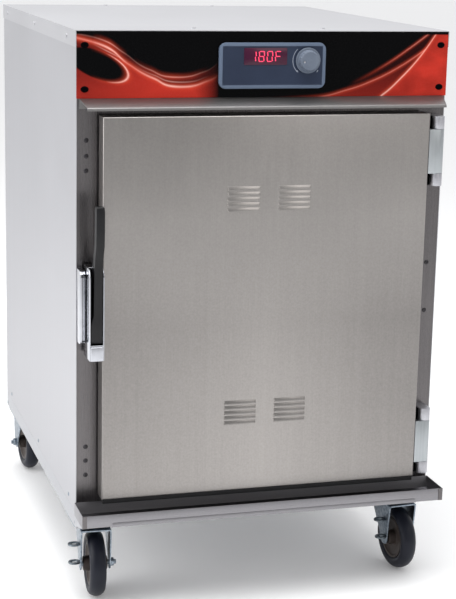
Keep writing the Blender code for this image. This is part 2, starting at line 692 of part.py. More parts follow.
def fan_wheel():
    """Radial blades under a disc, with the shaft that runs up into the motor."""
    center = (0, FRONT_Y + FAN_Y)
    low = BAFFLE_Z + SHEET + FAN_CLEARANCE
    disc_z = low + FAN_HEIGHT
    inner = FAN_HUB_RADIUS
    wheel = outline("fan_wheel", "fan_aluminium", [circle(center, FAN_RADIUS, 4 * FAN_BLADES)],
                    (disc_z - FAN_DISC, disc_z), "Z", origin=(*center, disc_z))
    for blade in range(FAN_BLADES):
        turn = Matrix.Rotation(2 * pi * blade / FAN_BLADES, 4, "Z")
        mesh = box_mesh((inner, FAN_RADIUS - GAP), (-FAN_BLADE_THICKNESS / 2, FAN_BLADE_THICKNESS / 2),
                        (low, disc_z - FAN_DISC / 2))
        mesh.transform(Matrix.Translation((*center, 0)) @ turn)
        join(wheel, mesh)
    shaft_top = DECK_Z + SHEET + GAP + SHAFT_SEAT
    shaft_low = disc_z - FAN_DISC / 2
    join(wheel, cylinder_mesh((*center, (shaft_low + shaft_top) / 2), SHAFT_RADIUS,
                              shaft_top - shaft_low, "Z"))


def blower_motor():
    center = (0, FRONT_Y + FAN_Y)
    low = DECK_Z + SHEET + GAP
    motor = add_piece("blower_motor", cylinder_mesh((*center, low + MOTOR_HEIGHT / 2), MOTOR_RADIUS,
                                                    MOTOR_HEIGHT, "Z"), "motor_paint")
    seat = SHAFT_SEAT + 2 * GAP
    cut(motor, cylinder_mesh((*center, low), SHAFT_RADIUS + PIN_CLEARANCE, 2 * seat, "Z"))


def heater_element():
    """A tubular ring round the fan, with both ends turned up to the ceiling."""
    center = (0, FRONT_Y + FAN_Y)
    level = (BAFFLE_Z + CEILING_Z) / 2
    ring = arc(center, HEATER_RING_RADIUS, HEATER_OPENING, 360 - HEATER_OPENING, 36)
    bend = 2 * HEATER_TUBE_RADIUS
    points = [(*ring[0], CEILING_Z - GAP), (*ring[0], level + bend)]
    points += [(*point, level) for point in ring[1:-1]]
    points += [(*ring[-1], level + bend), (*ring[-1], CEILING_Z - GAP)]
    curve = bpy.data.curves.new("heater", "CURVE")
    curve.dimensions = "3D"
    curve.bevel_depth = HEATER_TUBE_RADIUS
    curve.bevel_resolution = 2
    curve.use_fill_caps = True
    spline = curve.splines.new("POLY")
    spline.points.add(len(points) - 1)
    for point, place in zip(spline.points, points):
        point.co = (*place, 1)
    guide = bpy.data.objects.new("heater", curve)
    bpy.context.scene.collection.objects.link(guide)
    add_piece("heater_element", welded_mesh(guide), "heater_alloy")


def temperature_probe():
    """A thin sheath that hangs from the ceiling beside the fan, below a round collar."""
    center = (PROBE_X, FRONT_Y + FAN_Y)
    top = CEILING_Z - GAP
    probe = add_piece("temperature_probe",
                      cylinder_mesh((*center, top - PROBE_COLLAR / 2), PROBE_COLLAR_RADIUS,
                                    PROBE_COLLAR, "Z", SMALL_ROUND), "liner_steel")
    join(probe, cylinder_mesh((*center, top - (PROBE_COLLAR + PROBE_LENGTH) / 2), PROBE_RADIUS,
                              PROBE_LENGTH - PROBE_COLLAR / 2, "Z", SMALL_ROUND))


def power_inlet():
    """A flanged socket on the back, level with the control compartment."""
    z = DECK_Z + INLET_RISE
    low = BACK_Y + GAP
    half = INLET_FLANGE / 2
    flange_back = low + INLET_FLANGE_THICKNESS
    tip = flange_back + INLET_BARREL_LENGTH
    inlet = box("power_inlet", "module_plastic", (INLET_X - half, INLET_X + half),
                (low, flange_back), (z - half, z + half))
    join(inlet, cylinder_mesh((INLET_X, (low + GAP + tip) / 2, z), INLET_BARREL_RADIUS,
                              tip - low - GAP, "Y"))
    cut(inlet, cylinder_mesh((INLET_X, tip, z), INLET_BARREL_RADIUS - INLET_BARREL_WALL,
                             2 * INLET_SOCKET_DEPTH, "Y"))


# ---------------------------------------------------------------------------------------
# Door, hinges and latch
# ---------------------------------------------------------------------------------------
def door_panels():
    """A skin folded back round its edge, wool inside, and an inner panel that closes it."""
    skin = box("door_skin", "brushed_steel", (DOOR_LEFT, DOOR_RIGHT), (DOOR_FRONT_Y, DOOR_BACK_Y),
               (DOOR_BOTTOM_Z, DOOR_TOP_Z))
    inside_x = (DOOR_LEFT + SHEET, DOOR_RIGHT - SHEET)
    inside_z = (DOOR_BOTTOM_Z + SHEET, DOOR_TOP_Z - SHEET)
    cut(skin, box_mesh(inside_x, (DOOR_FRONT_Y + SHEET, DOOR_BACK_Y + SHEET), inside_z))
    x = (inside_x[0] + GAP, inside_x[1] - GAP)
    z = (inside_z[0] + GAP, inside_z[1] - GAP)
    box("door_insulation", "insulation_wool", x,
        (DOOR_FRONT_Y + SHEET + GAP, DOOR_BACK_Y - SHEET - GAP), z)
    box("door_inner_panel", "liner_steel", x, (DOOR_BACK_Y - SHEET, DOOR_BACK_Y), z)


def door_gasket():
    """A soft frame between the door and the stiles, round the cavity's mouth."""
    outer = [(-CAVITY_X - GASKET_WIDTH, CAVITY_X + GASKET_WIDTH),
             (FLOOR_Z - GASKET_WIDTH / 2, CEILING_Z + GASKET_WIDTH)]
    inner = [(low + GASKET_WIDTH, high - GASKET_WIDTH) for low, high in outer]
    outline("door_gasket", "gasket_rubber", [rectangle(*outer), rectangle(*inner)],
            (DOOR_BACK_Y + GAP, FRONT_Y - GAP), "Y")


def hinges():
    """Each hinge: a bracket with two end knuckles and a pin, and the door's leaf between."""
    starts = {"upper": DOOR_TOP_Z - HINGE_DROP - HINGE_LENGTH,
              "lower": DOOR_BOTTOM_Z + HINGE_RISE}
    axis = (HINGE_X, HINGE_Y)
    nose = arc(axis, HINGE_NOSE_RADIUS, 180, 360, 12)
    wall = FRONT_Y - GAP
    knuckle = [(HINGE_X - HINGE_NOSE_RADIUS, wall)] + nose + [(HINGE_X + HINGE_NOSE_RADIUS, wall)]
    door_edge = DOOR_RIGHT + GAP
    leaf_top = HINGE_Y + HINGE_NOSE_RADIUS
    leaf = [(door_edge, DOOR_FRONT_Y)] + arc(axis, HINGE_NOSE_RADIUS, 270, 450, 16)
    leaf.append((door_edge, leaf_top))
    for name, start in starts.items():
        end = start + HINGE_LENGTH
        bracket = box(f"hinge_bracket_{name}", "chrome",
                      (HINGE_X - HINGE_NOSE_RADIUS, HINGE_X + HINGE_NOSE_RADIUS),
                      (wall - HINGE_BACK, wall), (start, end))
        join(bracket, outline_mesh([knuckle], (start, start + HINGE_END), "Z"),
             outline_mesh([knuckle], (end - HINGE_END, end), "Z"),
             cylinder_mesh((*axis, (start + end) / 2), HINGE_PIN_RADIUS, HINGE_LENGTH - HINGE_END,
                           "Z", SMALL_ROUND))
        span = (start + HINGE_END + HINGE_END_CLEARANCE, end - HINGE_END - HINGE_END_CLEARANCE)
        bore = circle(axis, HINGE_PIN_RADIUS + PIN_CLEARANCE, SMALL_ROUND)
        outline(f"hinge_leaf_{name}", "chrome", [leaf, bore], span, "Z")


def latch():
    """A die-cast body on the door's edge: a base, two cheeks, an end cap and the lever's pin."""
    right = DOOR_LEFT - GAP
    left = right - LATCH_WIDTH
    top = LATCH_Z + LATCH_HEIGHT
    base_y = (FRONT_Y - LATCH_BASE_FRONT, FRONT_Y - LATCH_BACK)
    body = box("latch_body", "chrome", (left, right), base_y, (LATCH_Z, top))
    overlap = FRONT_Y - LATCH_BASE_FRONT + LATCH_CHEEK
    cap = box_mesh((left, right), (FRONT_Y - LATCH_CAP_FRONT, overlap),
                   (LATCH_Z, LATCH_Z + LATCH_CAP_HEIGHT))
    join(body, cap)
    cheek_z = (LATCH_Z + LATCH_CAP_HEIGHT / 2, top)
    for cheek_x in ((left, left + LATCH_CHEEK), (right - LATCH_CHEEK, right)):
        join(body, box_mesh(cheek_x, (FRONT_Y - LATCH_CHEEK_FRONT, overlap), cheek_z))
    middle = ((left + right) / 2, LEVER_PIN_Y, LEVER_PIN_Z)
    join(body, cylinder_mesh(middle, LATCH_PIN_RADIUS, LATCH_WIDTH - LATCH_CHEEK, "X", SMALL_ROUND))
    strike_right = left - STRIKE_CLEARANCE
    strike_low = LATCH_Z + STRIKE_RISE
    box("latch_strike", "chrome", (strike_right - STRIKE_WIDTH, strike_right),
        (FRONT_Y - STRIKE_DEPTH, FRONT_Y - GAP), (strike_low, strike_low + STRIKE_HEIGHT))


def latch_lever():
    """A long black lever that pivots on the latch's pin and stands clear above the latch."""
    right = DOOR_LEFT - GAP - LATCH_CHEEK - LEVER_SIDE_CLEARANCE
    left = DOOR_LEFT - GAP - LATCH_WIDTH + LATCH_CHEEK + LEVER_SIDE_CLEARANCE
    pin = (LEVER_PIN_Y, LEVER_PIN_Z)
    neck = LATCH_Z + LATCH_HEIGHT
    grip_top = LEVER_PIN_Z + LEVER_HEIGHT
    front = FRONT_Y - LEVER_REACH
    shoulder = neck + (grip_top - neck) / 2
    root = arc(pin, LEVER_ROOT_RADIUS, 180, 360, 12)
    side = root + [(pin[0] + LEVER_ROOT_RADIUS, neck),
                   (front + LEVER_GRIP, shoulder),
                   (front + LEVER_GRIP, grip_top),
                   (front + LEVER_GRIP / 3, grip_top),
                   (front, grip_top - LEVER_GRIP / 3),
                   (front, shoulder),
                   (pin[0] - LEVER_ROOT_RADIUS - LATCH_CHEEK, neck)]
    bore = circle(pin, LATCH_PIN_RADIUS + PIN_CLEARANCE, SMALL_ROUND)
    outline("latch_handle", "black_grip", [side, bore], (left, right), "X",
            origin=((left + right) / 2, *pin))


# ---------------------------------------------------------------------------------------
# Casters
# ---------------------------------------------------------------------------------------
def caster_places():
    """Each caster's swivel axis, and the turn that swings its wheel outwards."""
    x = HALF_WIDTH - CASTER_INSET_X
    for name, turn in CASTER_TURNS.items():
        end, side = name.split("_")
        y = FRONT_Y + CASTER_INSET_Y if end == "front" else BACK_Y - CASTER_INSET_Y
        outward = 0 if end == "front" else 180
        yield name, Vector((-x if side == "left" else x, y, 0)), radians(outward + turn)


def fork_mesh():
    """A stamped fork with its wheel trailing towards -Y, about the swivel axis.

    The legs are cut from one tapered outline; the crown, the lower half of the swivel race,
    the axle and its nuts are joined on.
    """
    crown_low = WHEEL_DIAMETER + FORK_CROWN_CLEARANCE
    crown_top = crown_low + FORK_SHEET
    inside = HUB_WIDTH / 2 + HUB_CLEARANCE
    outside = inside + FORK_SHEET
    half = FORK_TOP_LENGTH / 2
    axle = (-CASTER_TRAIL, WHEEL_RADIUS)
    leg = [(half, crown_top)] + [(-half, crown_top)]
    leg += arc(axle, FORK_END_RADIUS, 180, 350, 12)
    fork = add_piece("fork", box_mesh((-outside, outside), (-half, half), (crown_low, crown_top)),
                     "zinc")
    for sign in (-1, 1):
        span = span_from(sign * inside, sign * FORK_SHEET)
        join(fork, outline_mesh([leg], span, "X"))
        nut = (sign * (outside + NUT_HEIGHT / 2), *axle)
        if sign > 0:
            join(fork, cylinder_mesh(nut, NUT_RADIUS, NUT_HEIGHT + GAP, "X", 6))
    race = cylinder_mesh((0, 0, crown_top + RACE_HEIGHT / 2 - GAP), RACE_RADIUS,
                         RACE_HEIGHT + 2 * GAP, "Z")
    stub = outside + BRAKE_SHEET + 2 * GAP
    axle_middle = ((inside - stub) / 2, *axle)
    join(fork, race, cylinder_mesh(axle_middle, AXLE_RADIUS, inside + stub, "X", SMALL_ROUND))
    return welded_mesh(fork)


def wheel_mesh():
    """A crowned tread on a dished hub, about its own middle, with a bore for the axle."""
    radius = WHEEL_RADIUS / cos(pi / WHEEL_SIDES)
    half = WHEEL_WIDTH / 2
    shoulder = 0.8 * half
    lower = [(radius, -shoulder / 2), (radius - 0.002, -shoulder), (radius - 0.007, -half),
             (RIM_RADIUS, -half), (RIM_RADIUS - 0.002, -WEB_WIDTH / 2),
             (HUB_RADIUS, -WEB_WIDTH / 2), (HUB_RADIUS, -HUB_WIDTH / 2),
             (AXLE_RADIUS + AXLE_CLEARANCE, -HUB_WIDTH / 2)]
    upper = [(r, -height) for r, height in reversed(lower)]
    return turned_mesh(upper + lower, WHEEL_SIDES, "X", (0, 0, 0), half_step=True)


def brake_mesh():
    """A lever plate on the axle's end, with an upper and a lower pedal loop turned outwards."""
    inside = HUB_WIDTH / 2 + HUB_CLEARANCE + FORK_SHEET + GAP
    half = BRAKE_ARM_WIDTH / 2
    plate = arc((0, 0), half, 180, 360, 10) + [(half, BRAKE_HEIGHT), (-half, BRAKE_HEIGHT)]
    bore = circle((0, 0), AXLE_RADIUS + PIN_CLEARANCE, SMALL_ROUND)
    brake = add_piece("brake", outline_mesh([plate, bore], (-inside - BRAKE_SHEET, -inside), "X"),
                      "zinc")
    root = -inside - BRAKE_SHEET / 2
    for middle_y, level in ((0, BRAKE_HEIGHT), (-half, 0)):
        loop_y = (middle_y - PEDAL_LENGTH / 2, middle_y + PEDAL_LENGTH / 2)
        loop_x = (root - PEDAL_REACH, root)
        rim = rounded_rectangle(loop_x, loop_y, PEDAL_LENGTH / 2 - GAP, 5)
        hole_x = (loop_x[0] + PEDAL_RIM, loop_x[1] - PEDAL_RIM)
        hole_y = (loop_y[0] + PEDAL_RIM, loop_y[1] - PEDAL_RIM)
        hole = rounded_rectangle(hole_x, hole_y, (hole_y[1] - hole_y[0]) / 2 - GAP, 5)
        low = level - PEDAL_THICKNESS if level else level + AXLE_RADIUS + 2 * PIN_CLEARANCE
        join(brake, outline_mesh([rim, hole], (low, low + PEDAL_THICKNESS), "Z"))
    return welded_mesh(brake)


def casters():
    """Four swivel casters; the front pair also carry a brake on their left side."""
    fork = fork_mesh()
    wheel = wheel_mesh()
    brake = brake_mesh()
    half = CASTER_PLATE / 2
    plate_top = RAILS_Z - GAP
    plate_low = plate_top - CASTER_PLATE_THICKNESS
    for name, place, turn in caster_places():
        plate = box(f"caster_plate_{name}", "zinc", (place.x - half, place.x + half),
                    (place.y - half, place.y + half), (plate_low, plate_top))
        join(plate, cylinder_mesh((place.x, place.y, plate_low - RACE_HEIGHT / 2 + GAP),
                                  RACE_RADIUS, RACE_HEIGHT + 2 * GAP, "Z"))
        swing = Matrix.Rotation(turn, 4, "Z")
        axle = place + swing @ Vector((0, -CASTER_TRAIL, WHEEL_RADIUS))
        pieces = [(f"caster_fork_{name}", fork, place), (f"caster_wheel_{name}", wheel, axle)]
        if name.startswith("front"):
            pieces.append((f"caster_brake_{name}", brake, axle))
        for piece_name, mesh, location in pieces:
            piece = bpy.data.objects.new(piece_name, mesh)
            piece.location = location
            piece.rotation_euler.z = turn
            PARTS.objects.link(piece)


side_panels()
back_panel()
top_cover()
base_rails()
base_pan()
front_frame()
control_deck()
liner()
insulation()
fascia()
control_module()
control_knob()
drip_hood()
drip_trough()
pan_racks()
air_baffle()
fan_wheel()
blower_motor()
heater_element()
temperature_probe()
power_inlet()
door_panels()
door_gasket()
hinges()
latch()
latch_lever()
casters()
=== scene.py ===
import json
from math import atan2, cos, pi, radians

import bmesh
import bpy
from mathutils import Matrix, Vector


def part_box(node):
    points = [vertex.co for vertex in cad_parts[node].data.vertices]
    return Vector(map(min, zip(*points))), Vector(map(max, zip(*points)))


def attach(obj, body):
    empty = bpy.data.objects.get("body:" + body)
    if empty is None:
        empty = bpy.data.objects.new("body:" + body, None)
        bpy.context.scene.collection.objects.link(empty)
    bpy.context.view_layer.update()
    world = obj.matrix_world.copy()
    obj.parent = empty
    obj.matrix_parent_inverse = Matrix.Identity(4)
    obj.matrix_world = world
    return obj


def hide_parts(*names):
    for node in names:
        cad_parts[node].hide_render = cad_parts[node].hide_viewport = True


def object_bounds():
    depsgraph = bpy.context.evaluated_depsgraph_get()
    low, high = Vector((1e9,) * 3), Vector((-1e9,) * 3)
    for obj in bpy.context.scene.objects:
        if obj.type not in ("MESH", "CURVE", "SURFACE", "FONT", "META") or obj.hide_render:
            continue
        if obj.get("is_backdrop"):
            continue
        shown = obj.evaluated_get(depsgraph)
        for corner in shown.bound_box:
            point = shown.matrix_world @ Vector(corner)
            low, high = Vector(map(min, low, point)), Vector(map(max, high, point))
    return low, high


# %% [markdown]
# # A hot-holding cabinet on casters
# A kitchen carries cooked food in a box like this: a folded stainless body, an insulated
# door, a control panel above it and a drip trough below. The CAD model gives every part's
# place and its joints. This lesson adds what a buyer sees: rounded edges, pressed louvres,
# rivets, tyres, a printed control panel, and metal that looks brushed, plated or polished.

# %% The frame that everything is built on
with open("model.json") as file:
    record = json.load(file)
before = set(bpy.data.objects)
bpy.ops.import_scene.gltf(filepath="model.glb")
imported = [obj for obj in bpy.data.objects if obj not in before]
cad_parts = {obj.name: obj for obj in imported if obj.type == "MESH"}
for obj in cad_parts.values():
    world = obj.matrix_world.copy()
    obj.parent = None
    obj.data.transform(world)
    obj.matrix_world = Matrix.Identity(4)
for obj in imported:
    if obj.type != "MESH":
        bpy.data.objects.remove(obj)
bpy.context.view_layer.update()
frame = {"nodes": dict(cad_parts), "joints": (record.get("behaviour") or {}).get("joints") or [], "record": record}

# %% [markdown]
# ## Camera, light and floor
# The camera stands in front and to the left, a little above the cabinet, with a long lens,
# as for a catalogue picture. Heading, tilt and lean turn it from a view straight along +Y.

# %% Camera
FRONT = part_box("stile_left")[0].y
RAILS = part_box("base_rail_left")[0].z
EYE = Vector((-0.916, FRONT - 2.879, RAILS + 1.123))
HEADING, TILT, LEAN = 0.2874, -0.2265, 0.0220
LENS = 98.8

camera = bpy.data.objects.new("camera", bpy.data.cameras.new("camera"))
bpy.context.scene.collection.objects.link(camera)
camera.matrix_world = (Matrix.Translation(EYE) @ Matrix.Rotation(-HEADING, 4, "Z")
                       @ Matrix.Rotation(pi / 2 + TILT, 4, "X") @ Matrix.Rotation(LEAN, 4, "Z"))
camera.data.lens = LENS
camera.data.sensor_width = 36
camera.data.clip_end = 50
bpy.context.scene.camera = camera
print("camera at", tuple(round(v, 2) for v in EYE))


# %% [markdown]
# Steel shows what stands round it, so the light matters as much as the steel. Three large
# soft lamps do it: one over the top, one on the left for the bright side panel, and a weaker
# one in front. The world is dark in front, so the door stays grey, and pale above and behind.

# %% Lamps and world
def lamp(name, place, aim, size, power, tint=(1, 1, 1)):
    """A soft square lamp that faces a point."""
    light = bpy.data.lights.new(name, "AREA")
    light.size = size
    light.energy = power
    light.color = tint
    holder = bpy.data.objects.new(name, light)
    bpy.context.scene.collection.objects.link(holder)
    turn = (Vector(aim) - Vector(place)).to_track_quat("-Z", "Y").to_matrix().to_4x4()
    holder.matrix_world = Matrix.Translation(place) @ turn


MIDDLE = (0, 0, 0.6)
lamp("lamp_top", (-0.4, -0.6, 3.6), MIDDLE, 3.0, 110)
lamp("lamp_left", (-3.4, -0.4, 1.5), MIDDLE, 2.4, 60)
lamp("lamp_front", (1.6, -3.6, 2.2), MIDDLE, 1.6, 14, (1.0, 0.97, 0.94))

world = bpy.data.worlds.new("studio")
world.use_nodes = True
studio = world.node_tree
way = studio.nodes.new("ShaderNodeTexCoord").outputs["Normal"]
lean = studio.nodes.new("ShaderNodeVectorMath")
lean.operation, lean.inputs[1].default_value = "DOT_PRODUCT", (0, -0.42, -0.30)
half = studio.nodes.new("ShaderNodeMath")
half.inputs[1].default_value = 0.5
ramp = studio.nodes.new("ShaderNodeValToRGB")
for stop, (spot, tone) in zip(ramp.color_ramp.elements, ((0.12, 0.25), (0.62, 1.0))):
    stop.position, stop.color = spot, (tone, tone * 1.005, tone * 1.02, 1)
studio.links.new(way, lean.inputs[0])
studio.links.new(lean.outputs["Value"], half.inputs[0])
studio.links.new(half.outputs[0], ramp.inputs[0])
studio.links.new(ramp.outputs[0], studio.nodes["Background"].inputs["Color"])
studio.nodes["Background"].inputs["Strength"].default_value = 0.9
bpy.context.scene.world = world
bpy.context.scene.view_settings.view_transform = "Standard"


# %% [markdown]
# ## Shader maths in Python
# A finish is a small graph of nodes. Written as an expression it is easy to read, so a Wire
# wraps a node's output, and each operator on it adds the Math node that does the sum.

# %% Wires and finishes
class Wire:
    """An output of a finish's node, which Python's operators can work on."""

    def __init__(self, finish, socket):
        self.finish, self.socket = finish, socket

    def math(self, operation, *values):
        return self.finish.add("ShaderNodeMath", {"operation": operation}, *values)

    def __rsub__(self, other):
        return self.math("SUBTRACT", other, self)

    def __abs__(self):
        return self.math("ABSOLUTE", self)

    def held(self):
        """Held between 0 and 1."""
        return self.low(1.0).high(0.0)

    def past(self, edge, soft):
        """0 below an edge, 1 beyond it, with a soft step between."""
        return ((self - edge) / soft + 0.5).held()

    def ridge(self, width):
        """1 where the wire is 0, falling to 0 at a distance."""
        return (1 - abs(self) / width).held() ** 2


def operator(operation):
    """A method of Wire that adds one kind of Math node."""
    return lambda self, other: self.math(operation, self, other)


for method, operation in {
        "__add__": "ADD", "__radd__": "ADD", "__sub__": "SUBTRACT", "__mul__": "MULTIPLY",
        "__rmul__": "MULTIPLY", "__truediv__": "DIVIDE", "__pow__": "POWER",
        "__lt__": "LESS_THAN", "low": "MINIMUM", "high": "MAXIMUM"}.items():
    setattr(Wire, method, operator(operation))


class Finish:
    """A material whose graph is written in Python."""

    def __init__(self, name, **fixed):
        self.material = bpy.data.materials.new(name)
        self.material.use_nodes = True
        self.tree = self.material.node_tree
        self.shader = self.tree.nodes["Principled BSDF"]
        self.place = self.add("ShaderNodeTexCoord", {"out": "Object"})
        spot = self.add("ShaderNodeSeparateXYZ", {}, self.place)
        self.x, self.z = spot, Wire(self, spot.socket.node.outputs["Z"])
        self.wear(**fixed)

    def feed(self, socket, value):
        """Links a wire to a socket, or sets the socket to a fixed value."""
        if isinstance(value, Wire):
            self.tree.links.new(value.socket, socket)
        else:
            socket.default_value = value

    def add(self, kind, settings, *values, **named):
        """Adds a node: its settings first, then the values or wires of its sockets."""
        node = self.tree.nodes.new(kind)
        out = 0
        for key, value in settings.items():
            if key == "out":
                out = value
            elif key == "curve":
                curve = node.mapping.curves[0].points
                while len(curve) < len(value):
                    curve.new(0.5, 0.5)
                for point, spot in zip(curve, value):
                    point.location = spot
                node.mapping.update()
            else:
                setattr(node, key, value)
        for key, value in [*enumerate(values), *named.items()]:
            self.feed(node.inputs[key if isinstance(key, int) else key.replace("_", " ")], value)
        return Wire(self, node.outputs[out])

    def noise(self, scale, stretch=(1, 1, 1), detail=2.0, roughness=0.5):
        spot = self.add("ShaderNodeMapping", {}, Vector=self.place, Scale=stretch)
        return self.add("ShaderNodeTexNoise", {"out": "Fac"}, Vector=spot, Scale=scale,
                        Detail=detail, Roughness=roughness)

    def mix(self, mask, first, second):
        """A colour between two, where the mask goes from 0 to 1."""
        blend = self.add("ShaderNodeMix", {"data_type": "RGBA", "out": 2})
        for number, value in ((0, mask), (6, first), (7, second)):
            self.feed(blend.socket.node.inputs[number],
                      (*value, 1) if isinstance(value, tuple) else value)
        return blend

    def wear(self, **values):
        """Gives the shader its fixed values and the wires that change over the surface."""
        for socket, value in values.items():
            self.feed(self.shader.inputs[socket.replace("_", " ")], value)

    def relief(self, height, depth, strength=1.0):
        """Bumps whose height is 0 to 1 times a depth in metres."""
        normal = self.add("ShaderNodeBump", {}, Strength=strength, Distance=depth, Height=height)
        self.wear(Normal=normal)


# %% [markdown]
# ## Stainless steel
# Sheet steel is brushed with abrasive belts, which leaves fine parallel scratches. Noise that
# is stretched a hundred times along the grain gives them. A second, broad noise makes the
# cloudy tone that handling leaves, and both also change the roughness, so the light breaks up
# along the grain.

# %% Brushed steels
GRAINS = {"x": (0.010, 1, 1), "y": (1, 0.010, 1), "z": (1, 1, 0.010)}


def painted_door_reflection(made):
    """Painted reflection and shade: the door is drawn lightest at the top, lighter down its middle and a little at
    the bottom, and darkest at the sides.
    """
    high = made.z.past(0.64, 0.20)
    low = 1 - made.z.past(0.30, 0.15)
    middle = (1 - abs(made.x + 0.01) / 0.30).held()
    return 0.10 + 0.10 * low + 0.30 * middle * (1 - high) + 0.60 * high


def painted_floorward_shade(made):
    """Painted shade: the sheet is drawn darker towards the floor."""
    return 0.15 + 0.55 * made.z.past(0.20, 0.75)


def steel(name, light, dark, roughness, grain="z", depth=0.00006, mottle=0.2, shine=None):
    """A brushed steel between two tones, with painted light and shade laid over them when given."""
    made = Finish(name, Metallic=1.0)
    scratches = made.noise(900, GRAINS[grain], 3.0, 0.6)
    streaks = made.noise(90, GRAINS[grain], 2.0)
    flecks = made.noise(260, detail=3.0, roughness=0.65)
    clouds = made.noise(4.0, detail=3.0)
    tone = (0.35 * scratches + 0.15 * streaks + 0.30 * clouds + mottle * (flecks - 0.5)
            - 0.20) * 2.5
    if shine:
        tone = shine(made) + 0.27 * (tone - 0.5)
    made.wear(Base_Color=made.mix(tone.held(), dark, light),
              Roughness=roughness + 0.14 * (scratches - 0.5) + 0.10 * (clouds - 0.5))
    made.relief(scratches, depth, 0.5)
    return made.material


# Painted light: a reflection pattern on the door, and shade that darkens the side panels low down.
door_steel = steel("door_steel", (0.470, 0.445, 0.427), (0.220, 0.208, 0.200), 0.33, mottle=0.6,
                   shine=painted_door_reflection)
# Painted shade: the frame's stainless is drawn far darker than the same steel on the sides and door.
stile_steel = steel("stile_steel", (0.165, 0.156, 0.158), (0.105, 0.098, 0.100), 0.27)
side_steel = steel("side_steel", (0.56, 0.56, 0.585), (0.32, 0.32, 0.335), 0.42, shine=painted_floorward_shade)
top_steel = steel("top_steel", (0.58, 0.58, 0.60), (0.53, 0.53, 0.55), 0.42, "y")
rail_steel = steel("rail_steel", (0.46, 0.465, 0.485), (0.38, 0.385, 0.405), 0.42, "x")
hood_steel = steel("hood_steel", (0.26, 0.252, 0.25), (0.195, 0.189, 0.187), 0.46, "x")
trim_steel = steel("trim_steel", (0.29, 0.285, 0.30), (0.21, 0.205, 0.215), 0.36, "x")
shade_steel = steel("shade_steel", (0.070, 0.067, 0.072), (0.036, 0.034, 0.037), 0.36, "x")
liner_steel = steel("liner_steel", (0.66, 0.66, 0.67), (0.55, 0.55, 0.57), 0.28)
print("steels:", len([m for m in bpy.data.materials if m.name.endswith("_steel")]))

# %% [markdown]
# ## Plated and polished metal
# The latch and hinges are chromed castings: almost a mirror, with a faint ripple and dulled
# patches. The casters are bright zinc: bluish, and patchy where the crystals of the plating
# catch the light differently. A heated tube is scorched, and a fan stays plain aluminium.

# %% Other metals
def metal(name, dark, light, roughness, spread, scale, stretch=(1, 1, 1), detail=4.0,
          depth=0.0003, strength=0.3):
    """A metal whose tone, roughness and relief change together."""
    made = Finish(name, Metallic=1.0)
    patches = made.noise(scale, stretch, detail)
    made.wear(Base_Color=made.mix(patches, dark, light), Roughness=roughness + spread * patches)
    if depth:
        made.relief(patches, depth, strength)
    return made.material


chrome = Finish("chrome", Metallic=1.0)
ripple = chrome.noise(60, detail=2.0)
chrome.wear(Base_Color=chrome.mix(ripple, (0.40, 0.41, 0.44), (0.56, 0.57, 0.61)),
            Roughness=0.08 + 0.10 * chrome.noise(25, detail=3.0))
chrome.relief(ripple, 0.0002, 0.3)

zinc = Finish("zinc", Metallic=1.0)
crystals = zinc.add("ShaderNodeTexVoronoi", {"out": "Color"}, Vector=zinc.place, Scale=220.0)
patch = zinc.add("ShaderNodeSeparateColor", {}, crystals)
stain = zinc.noise(45, detail=4.0)
zinc.wear(Base_Color=zinc.mix((0.6 * patch + 0.6 * stain - 0.1).held(), (0.10, 0.13, 0.165),
                              (0.36, 0.41, 0.46)),
          Roughness=0.24 + 0.20 * stain)
zinc.relief(stain, 0.0003, 0.3)

cast_alloy = metal("cast_alloy", (0.33, 0.33, 0.36), (0.60, 0.60, 0.63), 0.30, 0.25, 700,
                   detail=2.0, strength=0.6)
satin_alloy = metal("satin_alloy", (0.35, 0.375, 0.39), (0.45, 0.475, 0.49), 0.34, 0.12, 300,
                    GRAINS["z"], 2.0, depth=0)
worn_zinc = metal("worn_zinc", (0.030, 0.040, 0.048), (0.26, 0.30, 0.33), 0.30, 0.20, 120)
heater_alloy = metal("heater_alloy", (0.16, 0.13, 0.12), (0.38, 0.33, 0.30), 0.40, 0.30, 30,
                     depth=0)
fan_aluminium = metal("fan_aluminium", (0.62, 0.62, 0.63), (0.82, 0.82, 0.83), 0.30, 0.25, 40,
                      depth=0)
print("finishes so far:", len(bpy.data.materials))

# %% [markdown]
# ## Rubber, plastic, paint and wool
# Moulded pieces take a fine texture from their mould, and rubber gathers dust. None of them
# is metal, so their colour comes from the piece and not from the room.


# %% Soft and moulded finishes
def moulded(name, light, dark, roughness, grain=1400, depth=0.0001, clouds=18, gloss=0.25):
    """A moulded plastic, rubber or paint between two tones."""
    made = Finish(name, Specular_IOR_Level=gloss)
    texture = made.noise(grain, detail=2.0)
    dust = made.noise(clouds, detail=4.0)
    made.wear(Base_Color=made.mix((1.6 * dust - 0.3).held(), dark, light),
              Roughness=roughness + 0.15 * (dust - 0.5) + 0.10 * (texture - 0.5))
    made.relief(texture, depth, 0.4)
    return made.material


tread_rubber = moulded("tread_rubber", (0.010, 0.012, 0.021), (0.005, 0.006, 0.012), 0.45)
hub_plastic = moulded("hub_plastic", (0.060, 0.046, 0.040), (0.030, 0.023, 0.021), 0.45)
black_grip = moulded("black_grip", (0.013, 0.013, 0.014), (0.006, 0.006, 0.007), 0.38)
black_plastic = moulded("black_plastic", (0.0016, 0.0016, 0.0024), (0.0007, 0.0007, 0.0012), 0.60,
                        gloss=0.02)
gasket_rubber = moulded("gasket_rubber", (0.014, 0.014, 0.015), (0.007, 0.007, 0.008), 0.65)
motor_paint = moulded("motor_paint", (0.060, 0.060, 0.065), (0.035, 0.035, 0.040), 0.45)
wool = moulded("insulation_wool", (0.70, 0.62, 0.34), (0.48, 0.41, 0.20), 0.95, 260, 0.002, 60)
dial_plastic = moulded("dial_plastic", (0.170, 0.200, 0.250), (0.100, 0.122, 0.165), 0.42, 1800)

